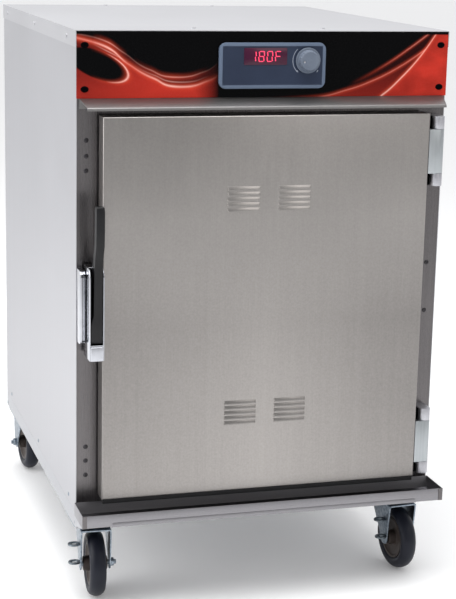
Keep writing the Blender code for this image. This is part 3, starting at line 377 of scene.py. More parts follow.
# %% [markdown]
# ## The printed control panel
# The panel is a glossy overlay, black with glowing red ribbons. Each ribbon's edge is a curve
# of height against length, drawn with a handful of points. The distance from the curve then
# makes a thin bright line, and which side of it a point is on makes the red field.

# %% Fascia print
panel_low, panel_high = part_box("fascia_panel")
PANEL_LONG = panel_high.x - panel_low.x
PANEL_TALL = panel_high.z - panel_low.z
print_black = (0.0015, 0.0015, 0.0018)
print_deep = (0.115, 0.010, 0.008)
print_red = (0.52, 0.035, 0.022)
print_warm = (0.72, 0.075, 0.035)
print_glow = (0.95, 0.50, 0.42)

fascia = Finish("fascia_print", Specular_IOR_Level=0.05)
along = (fascia.x - panel_low.x) / PANEL_LONG
up = (fascia.z - panel_low.z) / PANEL_TALL


def ribbon(points):
    """How far a spot is above a curve, in panel heights."""
    return up - fascia.add("ShaderNodeFloatCurve", {"curve": points}, Value=along)


upper = ribbon([(0, 0.96), (0.06, 0.88), (0.12, 0.68), (0.19, 0.42), (0.26, 0.31), (0.33, 0.39),
                (0.40, 0.60), (1, 0.9)])
lower = ribbon([(0, 0.90), (0.07, 0.78), (0.13, 0.52), (0.20, 0.29), (0.27, 0.165), (0.34, 0.25),
                (0.40, 0.42), (1, 0.9)])
between = ribbon([(0, 0.93), (0.12, 0.58), (0.20, 0.34), (0.27, 0.235), (0.34, 0.32), (0.40, 0.50),
                  (1, 0.9)])
rise = ribbon([(0, 0), (0.62, -0.02), (0.72, 0.10), (0.79, 0.24), (0.86, 0.44), (0.93, 0.70),
               (1, 1.0)])
sweep = ribbon([(0, -0.9), (0.78, -0.12), (0.82, 0.02), (0.87, 0.28), (0.92, 0.60), (0.965, 0.97),
                (1, 1.3)])
crest = ribbon([(0, -0.2), (0.66, 0.02), (0.74, 0.22), (0.82, 0.47), (0.89, 0.74), (0.95, 1.0),
                (1, 1.25)])

left_half = 1 - along.past(0.335, 0.07)
right_half = along.past(0.42, 0.02)
eye_x = (along - 0.055) * PANEL_LONG
eye_z = (up - 0.50) * PANEL_TALL
slant_x = 0.92 * eye_x - 0.38 * eye_z
slant_z = 0.38 * eye_x + 0.92 * eye_z
oval = ((slant_x / 0.058) ** 2 + (slant_z / 0.024) ** 2) ** 0.5 - 1
hollow = 1 - oval.past(0.0, 0.10)

field_left = (1 - lower.past(0.0, 0.03)) * left_half * (1 - hollow)
veil_left = (1 - upper.past(0.0, 0.02)) * left_half * (1 - hollow)
field_right = (1 - sweep.past(0.0, 0.015)) * right_half
beside = sweep.past(0.0, 0.02)
veil_right = (1 - rise.past(0.0, 0.03)) * right_half * beside
haze_right = (1 - crest.past(0.0, 0.05)) * right_half
swirl = fascia.noise(9, (1, 1, 2.2), 3.0)
heat = ((1 - abs(along - 0.27) / 0.30).held() * (1 - up)).held()
fade = (1 - up * 0.75) * (0.75 + 0.6 * swirl)

bruise = fascia.noise(16, (1, 1, 1.6), 3.0)
spark = (1 - abs(along - 0.245) / 0.10).held() + (1 - abs(along - 0.085) / 0.045).held()
warm = (lower.ridge(0.10) * left_half + 0.7 * upper.ridge(0.09) * left_half * spark
        + 0.8 * oval.ridge(0.26) * along.past(0.07, 0.07) * left_half
        + sweep.ridge(0.10) * right_half + 0.7 * rise.ridge(0.07) * right_half * beside
        + 0.6 * crest.ridge(0.06) * right_half * up.past(0.40, 0.4) * beside)
lines = (lower.ridge(0.035) * (0.25 + 0.8 * spark) * left_half
         + 0.30 * upper.ridge(0.022) * left_half * (0.4 + spark)
         + 0.45 * between.ridge(0.022) * left_half * spark
         + 0.9 * oval.ridge(0.08) * along.past(0.095, 0.04) * left_half
         + sweep.ridge(0.035) * right_half * (0.55 + 0.5 * (1 - up))
         + 0.22 * rise.ridge(0.022) * right_half * beside
         + 0.25 * crest.ridge(0.022) * right_half * up.past(0.60, 0.4) * beside)
print_color = print_black
for mask, color in (                    # laid over one another, as in printing
        (0.30 * haze_right * swirl + 0.32 * veil_right * fade, print_deep),
        (0.9 * veil_left * fade, print_deep),
        (field_left * (0.30 + 1.1 * heat) * fade, print_red),
        (field_right * (0.15 + 1.3 * bruise), print_red),
        (0.40 * veil_right * (1 - up) ** 3, print_red),
        (0.75 * warm, print_warm),
        (lines, print_glow),
        (up.past(0.955, 0.02), print_black)):
    print_color = fascia.mix(mask.held(), print_color, color)
speck = fascia.noise(500, detail=2.0)
fascia.wear(Base_Color=print_color, Roughness=0.22 + 0.10 * speck)
fascia.relief(speck, 0.00004, 0.3)

# %% [markdown]
# ## The control module
# It is one dark moulding with a paler rim. The distance to the rim is worked out in metres
# from the module's middle. A short arc and two marks beside the dial are printed on it.

# %% Module, window and digits
module_low, module_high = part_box("control_module")
dial_low, dial_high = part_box("control_knob")
MODULE_FACE = module_low.y
RIM = 0.0062
dial_x, dial_z = (dial_low.x + dial_high.x) / 2, (dial_low.z + dial_high.z) / 2

module_print = Finish("module_print", Specular_IOR_Level=0.15)
side_gap = (module_print.x - module_low.x).low(module_high.x - module_print.x)
edge_gap = side_gap.low(module_print.z - module_low.z).low(module_high.z - module_print.z)
rim_mask = 1 - edge_gap.past(RIM, 0.0012)
from_dial_x = module_print.x - dial_x
from_dial_z = module_print.z - dial_z
reach = (from_dial_x ** 2 + from_dial_z ** 2) ** 0.5
arc_mark = (reach - 0.0285).ridge(0.0012) * (from_dial_x < -0.020)
low_marks = ((reach - 0.0275).ridge(0.0022) * (from_dial_z < -0.0175)
             * (abs(from_dial_x) - 0.0195).ridge(0.003))
pores = module_print.noise(1500, detail=2.0)
shade = module_print.noise(14, detail=3.0)
face_color = module_print.mix(shade, (0.017, 0.024, 0.046), (0.030, 0.042, 0.075))
face_color = module_print.mix(rim_mask, face_color, (0.115, 0.150, 0.215))
face_color = module_print.mix((0.7 * arc_mark + 0.9 * low_marks).held(), face_color,
                              (0.55, 0.60, 0.70))
module_print.wear(Base_Color=face_color, Roughness=0.36 + 0.12 * pores)
module_print.relief(pores, 0.00008, 0.4)

window_tint = Finish("window_tint", Specular_IOR_Level=0.3)
depth = window_tint.noise(30, detail=2.0)
window_tint.wear(Base_Color=window_tint.mix(depth, (0.036, 0.008, 0.026), (0.070, 0.010, 0.030)),
                 Roughness=0.12 + 0.08 * depth)

led = Finish("led", Emission_Strength=0.75)
glow = led.noise(400, detail=1.0)
led.wear(Base_Color=led.mix(glow, (0.80, 0.02, 0.08), (1.0, 0.06, 0.14)),
         Emission_Color=led.mix(glow, (0.85, 0.015, 0.07), (1.0, 0.08, 0.17)))

# %% Finishes for the CAD nodes
BY_NODE = {
    "outer_panel_left": side_steel, "outer_panel_right": side_steel,
    "outer_back_panel": side_steel, "top_cover": top_steel, "base_pan": rail_steel,
    "control_deck": rail_steel, "fascia_panel": fascia.material,
    "display_window": window_tint.material, "heater_element": heater_alloy,
    "fan_wheel": fan_aluminium, "blower_motor": motor_paint,
    "door_gasket": gasket_rubber, "power_inlet": black_plastic,
    # The stiles, the header rail under the hood and the sill take the steel darkened as painted shade.
    "stile_left": stile_steel, "stile_right": stile_steel,
    "header_rail": stile_steel, "sill_rail": stile_steel, "latch_handle": black_grip,
    "control_module": module_print.material, "control_knob": dial_plastic,
    "door_skin": door_steel, "drip_hood": trim_steel, "drip_trough": trim_steel,
}
BY_SLOT = {
    "liner_steel": liner_steel, "rail_steel": rail_steel, "insulation_wool": wool,
    "chrome": chrome.material, "zinc": zinc.material, "wheel_tread": tread_rubber,
}
slots = {row["node"]: row["material_slot"] for row in frame["record"]["subparts"]}
for name, node in frame["nodes"].items():
    finish = BY_NODE.get(name) or BY_SLOT[slots[name]]
    node.data.materials.clear()
    node.data.materials.append(finish)
print("finished nodes:", len(frame["nodes"]))

# %% [markdown]
# ## Modelling tools
# A new piece starts as a primitive, already at its size and place. It is then shaped in edit
# mode, where faces, edges or points are picked by a test on their place and direction, and a
# modifier often finishes it. A Bench is a piece in edit mode.

# %% Primitives at their place
SHEET = 0.0012
AIM = {"y": Vector((0, 1, 0)), "z": Vector((0, 0, 1))}
PICKS = {"faces": "FACE", "edges": "EDGE", "verts": "VERT"}


def put_down():
    """Object mode, with nothing selected."""
    if bpy.context.object and bpy.context.object.mode != "OBJECT":
        bpy.ops.object.mode_set(mode="OBJECT")
    bpy.ops.object.select_all(action="DESELECT")


def take(piece):
    put_down()
    piece.select_set(True)
    bpy.context.view_layer.objects.active = piece
    return piece


def named(name):
    """Names the new primitive, and moves its place and size into its mesh."""
    piece = bpy.context.object
    piece.name = piece.data.name = name
    bpy.ops.object.transform_apply(location=True, rotation=True, scale=True)
    return piece


def block(name, x, y, z):
    """A block between three (low, high) pairs."""
    put_down()
    bpy.ops.mesh.primitive_cube_add(size=1, location=[(a + b) / 2 for a, b in (x, y, z)],
                                    scale=[b - a for a, b in (x, y, z)])
    return named(name)


def within(name, low, high):
    """A block between two corners."""
    return block(name, *zip(low, high))


def rod(name, middle, radius, length, way, sides=32):
    """A round bar along a direction."""
    put_down()
    bpy.ops.mesh.primitive_cylinder_add(vertices=sides, radius=radius, depth=length,
                                        location=middle,
                                        rotation=way.to_track_quat("Z", "Y").to_euler())
    return named(name)


# %% Edit mode
class Bench:
    """A piece in edit mode."""

    def __init__(self, piece):
        self.piece = piece

    def __enter__(self):
        take(self.piece)
        bpy.ops.object.mode_set(mode="EDIT")
        bpy.ops.mesh.select_all(action="SELECT")
        return self

    def __exit__(self, *trouble):
        bpy.ops.object.mode_set(mode="OBJECT")

    def pick(self, kind, test):
        """Selects what passes a test on its middle and its direction."""
        bpy.ops.mesh.select_mode(type=PICKS[kind])
        bpy.ops.mesh.select_all(action="DESELECT")
        shape = bmesh.from_edit_mesh(self.piece.data)
        for part in getattr(shape, kind):
            if kind == "faces":
                spot, way = part.calc_center_median(), part.normal
            elif kind == "edges":
                ends = [end.co for end in part.verts]
                spot, way = (ends[0] + ends[1]) / 2, (ends[1] - ends[0]).normalized()
            else:
                spot, way = part.co, part.normal
            if test(spot, way):
                part.select_set(True)
        bmesh.update_edit_mesh(self.piece.data)

    def facing(self, way, least=0.9):
        """Selects the faces that look along an axis, such as "-y"."""
        sign, axis = (-1 if way[0] == "-" else 1), way[-1]
        self.pick("faces", lambda spot, normal: sign * getattr(normal, axis) > least)

    def running(self, axis, test=lambda spot: True):
        """Selects the edges along an axis whose middle passes a test."""
        self.pick("edges", lambda spot, way: abs(getattr(way, axis)) > 0.9 and test(spot))

    def extrude(self, x=0, y=0, z=0):
        bpy.ops.mesh.extrude_region_move(TRANSFORM_OT_translate={"value": (x, y, z)})

    def inset(self, width):
        bpy.ops.mesh.inset(thickness=width)

    def move(self, x=0, y=0, z=0):
        bpy.ops.transform.translate(value=(x, y, z))

    def scale(self, about, x=1, y=1, z=1):
        bpy.ops.transform.resize(value=(x, y, z), center_override=about)

    def round(self, width, steps=3, affect="EDGES"):
        bpy.ops.mesh.bevel(offset=width, segments=steps, affect=affect)


# %% Modifiers, copies and the finished piece
def shaped(piece, kind, **settings):
    """Adds a modifier and applies it."""
    modifier = piece.modifiers.new(kind, kind)
    for key, value in settings.items():
        setattr(modifier, key, value)
    take(piece)
    bpy.ops.object.modifier_apply(modifier=modifier.name)
    return piece


def soften(piece, width, steps=2, angle=35):
    """Rounds every sharp edge a little."""
    return shaped(piece, "BEVEL", width=width, segments=steps, limit_method="ANGLE",
                  angle_limit=radians(angle))


def carve(piece, tool):
    shaped(piece, "BOOLEAN", object=tool, operation="DIFFERENCE", solver="EXACT")
    bpy.data.objects.remove(tool)
    return piece


def twin(piece, turn, name):
    """A copy with its own mesh, moved by a matrix."""
    copy = bpy.data.objects.new(name, piece.data.copy())
    copy.data.name = name
    copy.data.transform(turn)
    bpy.context.scene.collection.objects.link(copy)
    return copy


def joined(name, pieces):
    put_down()
    for piece in pieces:
        piece.select_set(True)
    bpy.context.view_layer.objects.active = pieces[0]
    bpy.ops.object.join()
    pieces[0].name = pieces[0].data.name = name
    return pieces[0]


def repeated(name, piece, spots):
    """One piece made of copies at several places. The model itself is used up."""
    copies = [twin(piece, Matrix.Translation(Vector(spot)), name) for spot in spots]
    bpy.data.objects.remove(piece)
    return joined(name, copies)


def merged_copy(node, name):
    """A copy of a CAD node with its loose triangles merged into whole faces."""
    copy = twin(frame["nodes"][node], Matrix.Identity(4), name)
    copy.data.materials.clear()
    with Bench(copy):
        bpy.ops.mesh.remove_doubles(threshold=1e-5)
        bpy.ops.mesh.dissolve_limited(angle_limit=radians(0.5))
    return copy


def lathe(name, base, way, profile, sides=32):
    """A round piece: a disc is extruded and scaled through (distance, radius) steps."""
    put_down()
    base, way = Vector(base), Vector(way)
    bpy.ops.mesh.primitive_circle_add(vertices=sides, radius=profile[0][1], fill_type="NGON",
                                      location=base + way * profile[0][0],
                                      rotation=way.to_track_quat("Z", "Y").to_euler())
    piece = named(name)
    with Bench(piece) as at:
        for (here, size), (there, new_size) in zip(profile, profile[1:]):
            at.extrude(*(way * (there - here)))
            ratio = new_size / size
            at.scale(base, *[1 if abs(part) > 0.5 else ratio for part in way])
    return piece


def show(piece, body, finish, slot, *stands_for, angle=35):
    """The last step of each piece: outward faces, smooth shading, finish and body. The slot is not used."""
    with Bench(piece):
        bpy.ops.mesh.normals_make_consistent(inside=False)
    take(piece)
    bpy.ops.object.shade_smooth_by_angle(angle=radians(angle))
    piece.data.materials.clear()
    piece.data.materials.append(getattr(finish, "material", finish))
    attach(piece, body)
    if stands_for:
        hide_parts(*stands_for)
    print(f"{piece.name}: {len(piece.data.polygons)} faces")
    return piece


# %% [markdown]
# ## Door
# The skin is one sheet folded back round its edge. A block gets its back face inset by the
# sheet's thickness and pushed in, which leaves a tray, and the front edge is rounded as a
# folding press leaves it. The vents are louvres pressed out of the sheet: one wedge is shaped,
# and then repeated. A dark rubber strip hangs from the lower edge: painted shade for the gap above the trough.

# %% Door skin and louvres
door_low, door_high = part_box("door_skin")
DOOR_FACE = door_low.y

door = within("door_face", door_low, door_high)
with Bench(door) as at:
    at.facing("y")
    at.inset(SHEET)
    at.extrude(y=SHEET - (door_high.y - door_low.y))
    at.pick("edges", lambda spot, way: spot.y < DOOR_FACE + 1e-4)
    at.round(0.0020)
show(door, "door", door_steel, "brushed_steel", "door_skin")

SLAT_LONG, SLAT_TALL, SLAT_PROUD, SLAT_PITCH, SLATS = 0.062, 0.0072, 0.0024, 0.0098, 5
slat = block("slat", (-SLAT_LONG / 2, SLAT_LONG / 2), (-SLAT_PROUD, 0.0003), (0, SLAT_TALL))
with Bench(slat) as at:
    at.running("x", lambda spot: spot.y < 0 and spot.z > SLAT_TALL - 1e-5)
    at.move(y=SLAT_PROUD - 0.0003)
    at.pick("verts", lambda spot, way: spot.y < -0.001)
    at.scale((0, 0, 0), x=0.93)
    at.facing("-z")
    at.inset(0.0005)
    at.extrude(z=0.0015)
soften(slat, 0.0004)
vent = repeated("vent", slat, [(0, 0, row * SLAT_PITCH) for row in range(SLATS)])
VENTS = {"upper_left": (-0.0530, 0.6065), "upper_right": (0.0440, 0.6065),
         "lower_left": (-0.0510, 0.2010), "lower_right": (0.0465, 0.2010)}
for name, (x, rise) in VENTS.items():
    show(twin(vent, Matrix.Translation((x, DOOR_FACE, RAILS + rise)), f"louvres_{name}"),
         "door", door_steel, "brushed_steel")
bpy.data.objects.remove(vent)

# Painted shade: a black strip under the door darkens the shadowed gap above the trough.
SHADE_STRIP_TALL = 0.0085
shade_strip = block("door_sweep", (door_low.x + 0.002, door_high.x - 0.002),
                    (DOOR_FACE + 0.0012, door_high.y - 0.004),
                    (door_low.z - SHADE_STRIP_TALL, door_low.z + 0.0002))
with Bench(shade_strip) as at:
    at.facing("-z")
    at.inset(0.0030)
    at.extrude(z=0.0030)
show(soften(shade_strip, 0.0008), "door", gasket_rubber, "gasket_rubber")

gasket = soften(merged_copy("door_gasket", "door_seal"), 0.0025, 3)
show(gasket, "door", gasket_rubber, "gasket_rubber", "door_gasket")

# %% [markdown]
# ## Rivets and screws
# Sheet metal boxes are closed with pop rivets: a low dome with a dimple where the pin broke
# off. Screws and fasteners differ only in profile. Each head is turned like a piece on a lathe,
# from a disc that is extruded and scaled, and then copied to its places.

# %% Rivets, screws and fasteners
RIVET = [(-0.0004, 0.0042), (0.0002, 0.0042), (0.0007, 0.0036), (0.0011, 0.0022),
         (0.0012, 0.0014), (0.0005, 0.0012)]
SCREW = [(-0.0004, 0.0045), (0.0004, 0.0045), (0.0012, 0.0038), (0.0014, 0.0024),
         (0.0015, 0.0018), (0.0006, 0.0016)]
FASTENER = [(-0.0003, 0.0056), (0.0005, 0.0056), (0.0012, 0.0048), (0.0015, 0.0032),
            (0.0015, 0.0022), (0.0010, 0.0018)]
side_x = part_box("outer_panel_right")[1].x
back_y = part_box("outer_back_panel")[1].y


def fasteners(name, profile, way, spots, finish, slot, sides=16, wide=1):
    """Turned heads at several places, whose heights are above the rails."""
    head = lathe("head", (0, 0, 0), way, profile, sides)
    with Bench(head) as at:
        at.scale((0, 0, 0), x=wide)
    show(repeated(name, head, [(x, y, RAILS + z) for x, y, z in spots]), "cabinet", finish, slot)


for side, sign in (("left", -1), ("right", 1)):
    fasteners(f"side_rivets_{side}", RIVET, (sign, 0, 0),
              [(sign * side_x, FRONT + y, z) for y, z in (
                  (0.073, 0.044), (0.413, 0.044), (0.770, 0.044), (0.009, 0.010), (0.831, 0.007))],
              zinc, "zinc")
fasteners("stile_screws", SCREW, (0, -1, 0),
          [(-0.336, FRONT, z) for z in (0.735, 0.7065, 0.680, 0.161, 0.134, 0.106)]
          + [(0.333, FRONT, z) for z in (0.488, 0.393)], shade_steel, "chrome")
fasteners("back_rivets", RIVET, (0, 1, 0),
          [(x, back_y, z) for x in (-0.340, 0.340) for z in (0.05, 0.26, 0.47, 0.68, 0.89)]
          + [(x, back_y, z) for x in (-0.17, 0.0, 0.17) for z in (0.05, 0.89)], zinc, "zinc")
fasteners("panel_fasteners", FASTENER, (0, -1, 0),
          [(x, panel_low.y, z) for x in (-0.3395, 0.3395) for z in (0.826, 0.904)],
          black_plastic, "module_plastic", 24, 1.3)

# %% [markdown]
# ## Drip hood and trough
# The hood is a strip folded three times. A plane makes its first face and its free edge is
# extruded along the profile. Solidify gives the strip its thickness. The trough is a block
# hollowed from the top, with a folded strip closing each end and a skirt below it. Thin caps
# close the open ends of the base rails at the back.


# %% Folded strips
def folded(name, span, path, thickness, bend, offset=-1):
    """A strip along x, folded through (y, z) points."""
    (y, z), (next_y, next_z) = path[:2]
    run = Vector((0, next_y - y, next_z - z))
    put_down()
    bpy.ops.mesh.primitive_plane_add(size=1, location=((span[0] + span[1]) / 2,
                                                       (y + next_y) / 2, (z + next_z) / 2),
                                     rotation=(atan2(run.z, run.y), 0, 0))
    bpy.context.object.scale = (span[1] - span[0], run.length, 1)
    piece = named(name)

    def at_point(spot, point):
        return abs(spot.y - point[0]) < 1e-5 and abs(spot.z - point[1]) < 1e-5

    with Bench(piece) as at:
        for here, there in zip(path[1:], path[2:]):
            at.pick("edges", lambda spot, way: at_point(spot, here))
            at.extrude(y=there[0] - here[0], z=there[1] - here[1])
        at.pick("edges", lambda spot, way: any(at_point(spot, point) for point in path[1:-1]))
        at.round(bend, 3)
    return shaped(piece, "SOLIDIFY", thickness=thickness, offset=offset)


hood_low, hood_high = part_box("drip_hood")
HOOD_LIP, HOOD_MITRE = 0.0042, 0.007
hood = folded("drip_shield", (hood_low.x, hood_high.x),
              [(hood_high.y, hood_low.z), (hood_high.y, hood_high.z),
               (hood_low.y, hood_low.z + HOOD_LIP), (hood_low.y, hood_low.z)],
              SHEET, 0.0016)
with Bench(hood) as at:
    at.pick("verts", lambda spot, way: spot.y < hood_low.y + 0.006)
    at.scale((0, 0, 0), x=1 - HOOD_MITRE / hood_high.x)
show(hood, "cabinet", hood_steel, "brushed_steel", "drip_hood")

trough_low, trough_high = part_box("drip_trough")
trough = within("drip_tray", trough_low, trough_high)
with Bench(trough) as at:
    at.facing("z")
    at.inset(SHEET)
    at.extrude(z=SHEET - (trough_high.z - trough_low.z))
    at.running("x", lambda spot: spot.z < trough_low.z + 1e-5)
    at.round(0.0022)
soften(trough, 0.00035, 2, 60)
show(trough, "cabinet", trim_steel, "brushed_steel", "drip_trough")

HEM_TALL, HEM_LONG = 0.0080, 0.302
hem = block("drip_tray_hem", (-HEM_LONG, HEM_LONG), (trough_low.y - 0.0007, trough_low.y + 0.0006),
            (trough_low.z - 0.0003, trough_low.z + HEM_TALL))
with Bench(hem) as at:
    at.running("y", lambda spot: spot.z > trough_low.z + 0.001)
    at.round(0.0055, 5)
show(soften(hem, 0.0004), "cabinet", trim_steel, "brushed_steel")

SKIRT_BOTTOM = RAILS + 0.0060
skirts = []
for sign in (-1, 1):
    x = sorted((sign * (trough_high.x - 0.0004), sign * (trough_high.x - 0.0016)))
    skirts.append(block("skirt", x, (trough_low.y + 0.004, trough_high.y - 0.0004),
                        (SKIRT_BOTTOM, trough_low.z + 0.0020)))
    with Bench(skirts[-1]) as at:
        at.running("x", lambda spot: spot.y < trough_low.y + 0.005 and spot.z < RAILS + 0.010)
        at.move(z=trough_low.z - 0.0010 - SKIRT_BOTTOM)
show(soften(joined("drip_tray_skirts", skirts), 0.0004), "cabinet", rail_steel, "brushed_steel")

END_INSET, END_THICK = 0.0004, 0.0020
ends = []
for side in ("left", "right"):
    low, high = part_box(f"base_rail_{side}")
    ends.append(block("end", (low.x + END_INSET, high.x - END_INSET),
                      (high.y - END_THICK, high.y - END_INSET),
                      (low.z + END_INSET, high.z - END_INSET)))
show(soften(joined("rail_ends", ends), 0.0004), "cabinet", rail_steel, "brushed_steel")

FOLD_WIDE, FOLD_PROUD = 0.0085, 0.0006
folds = []
for sign in (-1, 1):
    x = sorted((sign * trough_high.x, sign * (trough_high.x - FOLD_WIDE)))
    folds.append(block("fold", x, (trough_low.y - FOLD_PROUD, trough_low.y + SHEET),
                       (trough_low.z + 0.0005, trough_high.z - 0.0003)))
    with Bench(folds[-1]) as at:
        at.facing("-y")
        at.inset(0.0004)
show(soften(joined("drip_tray_folds", folds), 0.0003), "cabinet", stile_steel, "brushed_steel")

# %% [markdown]
# ## Latch
# The latch is a chromed casting on the door's edge, open in front and above, where a long
# lever lies in a dark lined channel. A block is rounded and its channel is cut by a second
# block. The lever grows out of a small block: its top face is extruded, moved and scaled from
# station to station, so it is broad at its foot, steps forward at the neck and ends in a grip.

# %% Latch body and strike
body_low, body_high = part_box("latch_body")
lever_low, lever_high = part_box("latch_handle")
CHEEK = (body_high.x - body_low.x - (lever_high.x - lever_low.x)) / 2 - 0.0004
CAP_TALL, CAP_DEEP, CAP_BACK, CHANNEL_BACK = 0.029, 0.004, 0.030, 0.0315

body = block("latch_case", (body_low.x, body_high.x), (body_low.y + CAP_DEEP, body_high.y),
             (body_low.z, body_high.z))
with Bench(body) as at:
    at.running("x", lambda spot: spot.z > body_high.z - 1e-5 and spot.y < body_high.y - 1e-3)
    at.round(0.016, 6)
carve(body, block("channel", (body_low.x + CHEEK, body_high.x - CHEEK),
                  (body_low.y - 0.01, body_high.y - CHANNEL_BACK),
                  (body_low.z + CAP_TALL, body_high.z + 0.01)))
soften(body, 0.0011, 3)
cap = block("cap", (body_low.x, body_high.x), (body_low.y, body_high.y - CAP_BACK),
            (body_low.z, body_low.z + CAP_TALL))
with Bench(cap) as at:
    at.facing("-y")
    at.scale(((body_low.x + body_high.x) / 2, body_low.y, body_low.z), x=0.86, z=0.92)
soften(cap, 0.0020, 4)
show(joined("latch_case", [body, cap]), "door", chrome, "chrome", "latch_body")

liner_y = body_high.y - CHANNEL_BACK - 0.0003
liners = [block("liner", (body_low.x + CHEEK + 0.0003, body_high.x - CHEEK - 0.0003),
                (liner_y, liner_y + 0.0015), (body_low.z + CAP_TALL + 0.001, body_high.z - 0.004)),
          block("liner", (body_low.x + CHEEK - 0.0006, body_low.x + CHEEK + 0.0003),
                (body_low.y + CAP_DEEP + 0.004, liner_y + 0.0005),
                (body_low.z + CAP_TALL + 0.001, body_high.z - 0.018))]
show(soften(joined("latch_liner", liners), 0.0002), "door", black_plastic, "black_grip")

lever_pin = next(j for j in frame["joints"] if j["name"] == "latch_pull")["pos_m"]
pin = lathe("latch_pin", (body_low.x - 0.0001, lever_pin[1], lever_pin[2]), (1, 0, 0),
            [(0, 0.0042), (0.0002, 0.0046), (body_high.x - body_low.x, 0.0046),
             (body_high.x - body_low.x + 0.0002, 0.0042)], 20)
show(pin, "door", zinc, "chrome")

strike_low, strike_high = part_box("latch_strike")
strike = within("strike_plate", strike_low, strike_high)
with Bench(strike) as at:
    at.running("x", lambda spot: spot.y < strike_low.y + 1e-5)
    at.round(0.012, 6)
    at.facing("x")
    at.inset(0.0022)
    at.extrude(x=-0.0018)
show(soften(strike, 0.0009, 3), "cabinet", chrome, "chrome", "latch_strike")
bed = block("strike_bed", (strike_low.x + 0.0034, strike_high.x - 0.0006),
            (strike_low.y - 0.0002, strike_low.y + 0.0030),
            (strike_low.z + 0.006, strike_high.z - 0.006))
with Bench(bed) as at:
    at.facing("-y")
    at.inset(0.0010)
    at.extrude(y=0.0010)
show(soften(bed, 0.0003), "cabinet", black_plastic, "black_grip")

# %% Lever
pin_y, grip_y = lever_pin[1], lever_low.y
grip_back = grip_y + 0.018
neck_z, root_z, top_z = body_high.z, lever_low.z, lever_high.z
stations = [                # height, front, back, and what is taken off the left and right
    (root_z, pin_y - 0.0050, pin_y + 0.0070, 0.0004, 0.0004),
    (root_z + 0.006, pin_y - 0.0098, pin_y + 0.0098, 0.0004, 0.0004),
    (root_z + 0.036, pin_y - 0.0106, pin_y + 0.0098, 0.0006, 0.0004),
    (root_z + 0.054, pin_y - 0.0110, pin_y + 0.0098, 0.0052, 0.0004),
    (neck_z, pin_y - 0.0118, pin_y + 0.0098, 0.0060, 0.0004),
    (neck_z + 0.020, pin_y - 0.0165, pin_y + 0.0040, 0.0060, 0.0004),
    (neck_z + 0.045, grip_y + 0.0018, grip_back + 0.002, 0.0058, 0.0004),
    (neck_z + 0.070, grip_y, grip_back - 0.001, 0.0058, 0.0004),
    (top_z - 0.010, grip_y, grip_back - 0.001, 0.0058, 0.0004),
    (top_z - 0.002, grip_y + 0.0012, grip_back - 0.002, 0.0064, 0.0010),
    (top_z, grip_y + 0.0035, grip_back - 0.004, 0.0080, 0.0026)]
stations = [(z, (lever_low.x + left, lever_high.x - right), (front, back))
            for z, front, back, left, right in stations]
lever = block("lever", *stations[0][1:], (root_z, stations[1][0]))
with Bench(lever) as at:
    for here, there in zip(stations, stations[1:]):
        at.facing("z", 0.7)
        if here[0] > root_z:
            at.extrude(z=there[0] - here[0])
        middles = [sum(pair) / 2 for pair in there[1:]]
        at.move(*[middle - sum(pair) / 2 for middle, pair in zip(middles, here[1:])])
        at.scale((*middles, there[0]), *[(new[1] - new[0]) / (old[1] - old[0])
                                         for new, old in zip(there[1:], here[1:])])
soften(lever, 0.0042, 4, 40)
show(lever, "latch_lever", black_grip, "black_grip", "latch_handle", angle=50)

# %% [markdown]
# ## Hinges
# Each hinge is an alloy casting: two blocky end knuckles on the body, and between them a
# satin plate on the door. A black block beside each knuckle is painted shade for the deep gap
# there. The CAD shapes are right, so a merged copy of each only gets its edges rounded.

# %% Hinges
SHADE_BLOCK_DEEP = 0.034
for place in ("upper", "lower"):
    bracket = soften(merged_copy(f"hinge_bracket_{place}", f"hinge_knuckles_{place}"), 0.0009)
    show(bracket, "cabinet", cast_alloy, "chrome", f"hinge_bracket_{place}")
    leaf = soften(merged_copy(f"hinge_leaf_{place}", f"hinge_plate_{place}"), 0.0008)
    show(leaf, "door", satin_alloy, "chrome", f"hinge_leaf_{place}")
    low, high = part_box(f"hinge_bracket_{place}")
    leaf_low, leaf_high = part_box(f"hinge_leaf_{place}")
    # Painted shade: black blocks beside each knuckle darken the deep gap by the door's edge.
    shade_blocks = []
    for bottom, top in ((low.z, leaf_low.z), (leaf_high.z, high.z)):
        shade_blocks.append(block("bush", (door_high.x + 0.0012, low.x - 0.0004),
                            (high.y - SHADE_BLOCK_DEEP, high.y), (bottom + 0.0006, top - 0.0006)))
        with Bench(shade_blocks[-1]) as at:
            at.facing("-y")
            at.inset(0.0012)
            at.extrude(y=0.0008)
    show(soften(joined(f"hinge_bushes_{place}", shade_blocks), 0.0006), "cabinet", black_plastic,
         "black_grip")

# %% [markdown]
# ## Control module
# The moulding's corners are rounded first. Its face is then inset and pushed back, which
# leaves the rim. The four characters of the display are bars: each is the same bar, put in the
# seven places of a figure eight, and only the bars that are lit are kept.

# %% Module and display
module = block("control_bezel", (module_low.x, module_high.x), (MODULE_FACE, MODULE_FACE + 0.007),
               (module_low.z, module_high.z))
with Bench(module) as at:
    at.running("y")
    at.round(0.013, 7)
    at.facing("-y")
    at.inset(RIM)
    at.inset(0.0009)
    at.move(y=0.0011)
show(soften(module, 0.0006), "cabinet", module_print, "module_plastic", "control_module")

window_low, window_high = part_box("display_window")
lens = block("display_lens", (window_low.x, window_high.x),
             (window_low.y, window_low.y + 0.0011), (window_low.z, window_high.z))
with Bench(lens) as at:
    at.running("y")
    at.round(0.0020, 4)
show(soften(lens, 0.0003), "cabinet", window_tint, "window_plastic", "display_window")

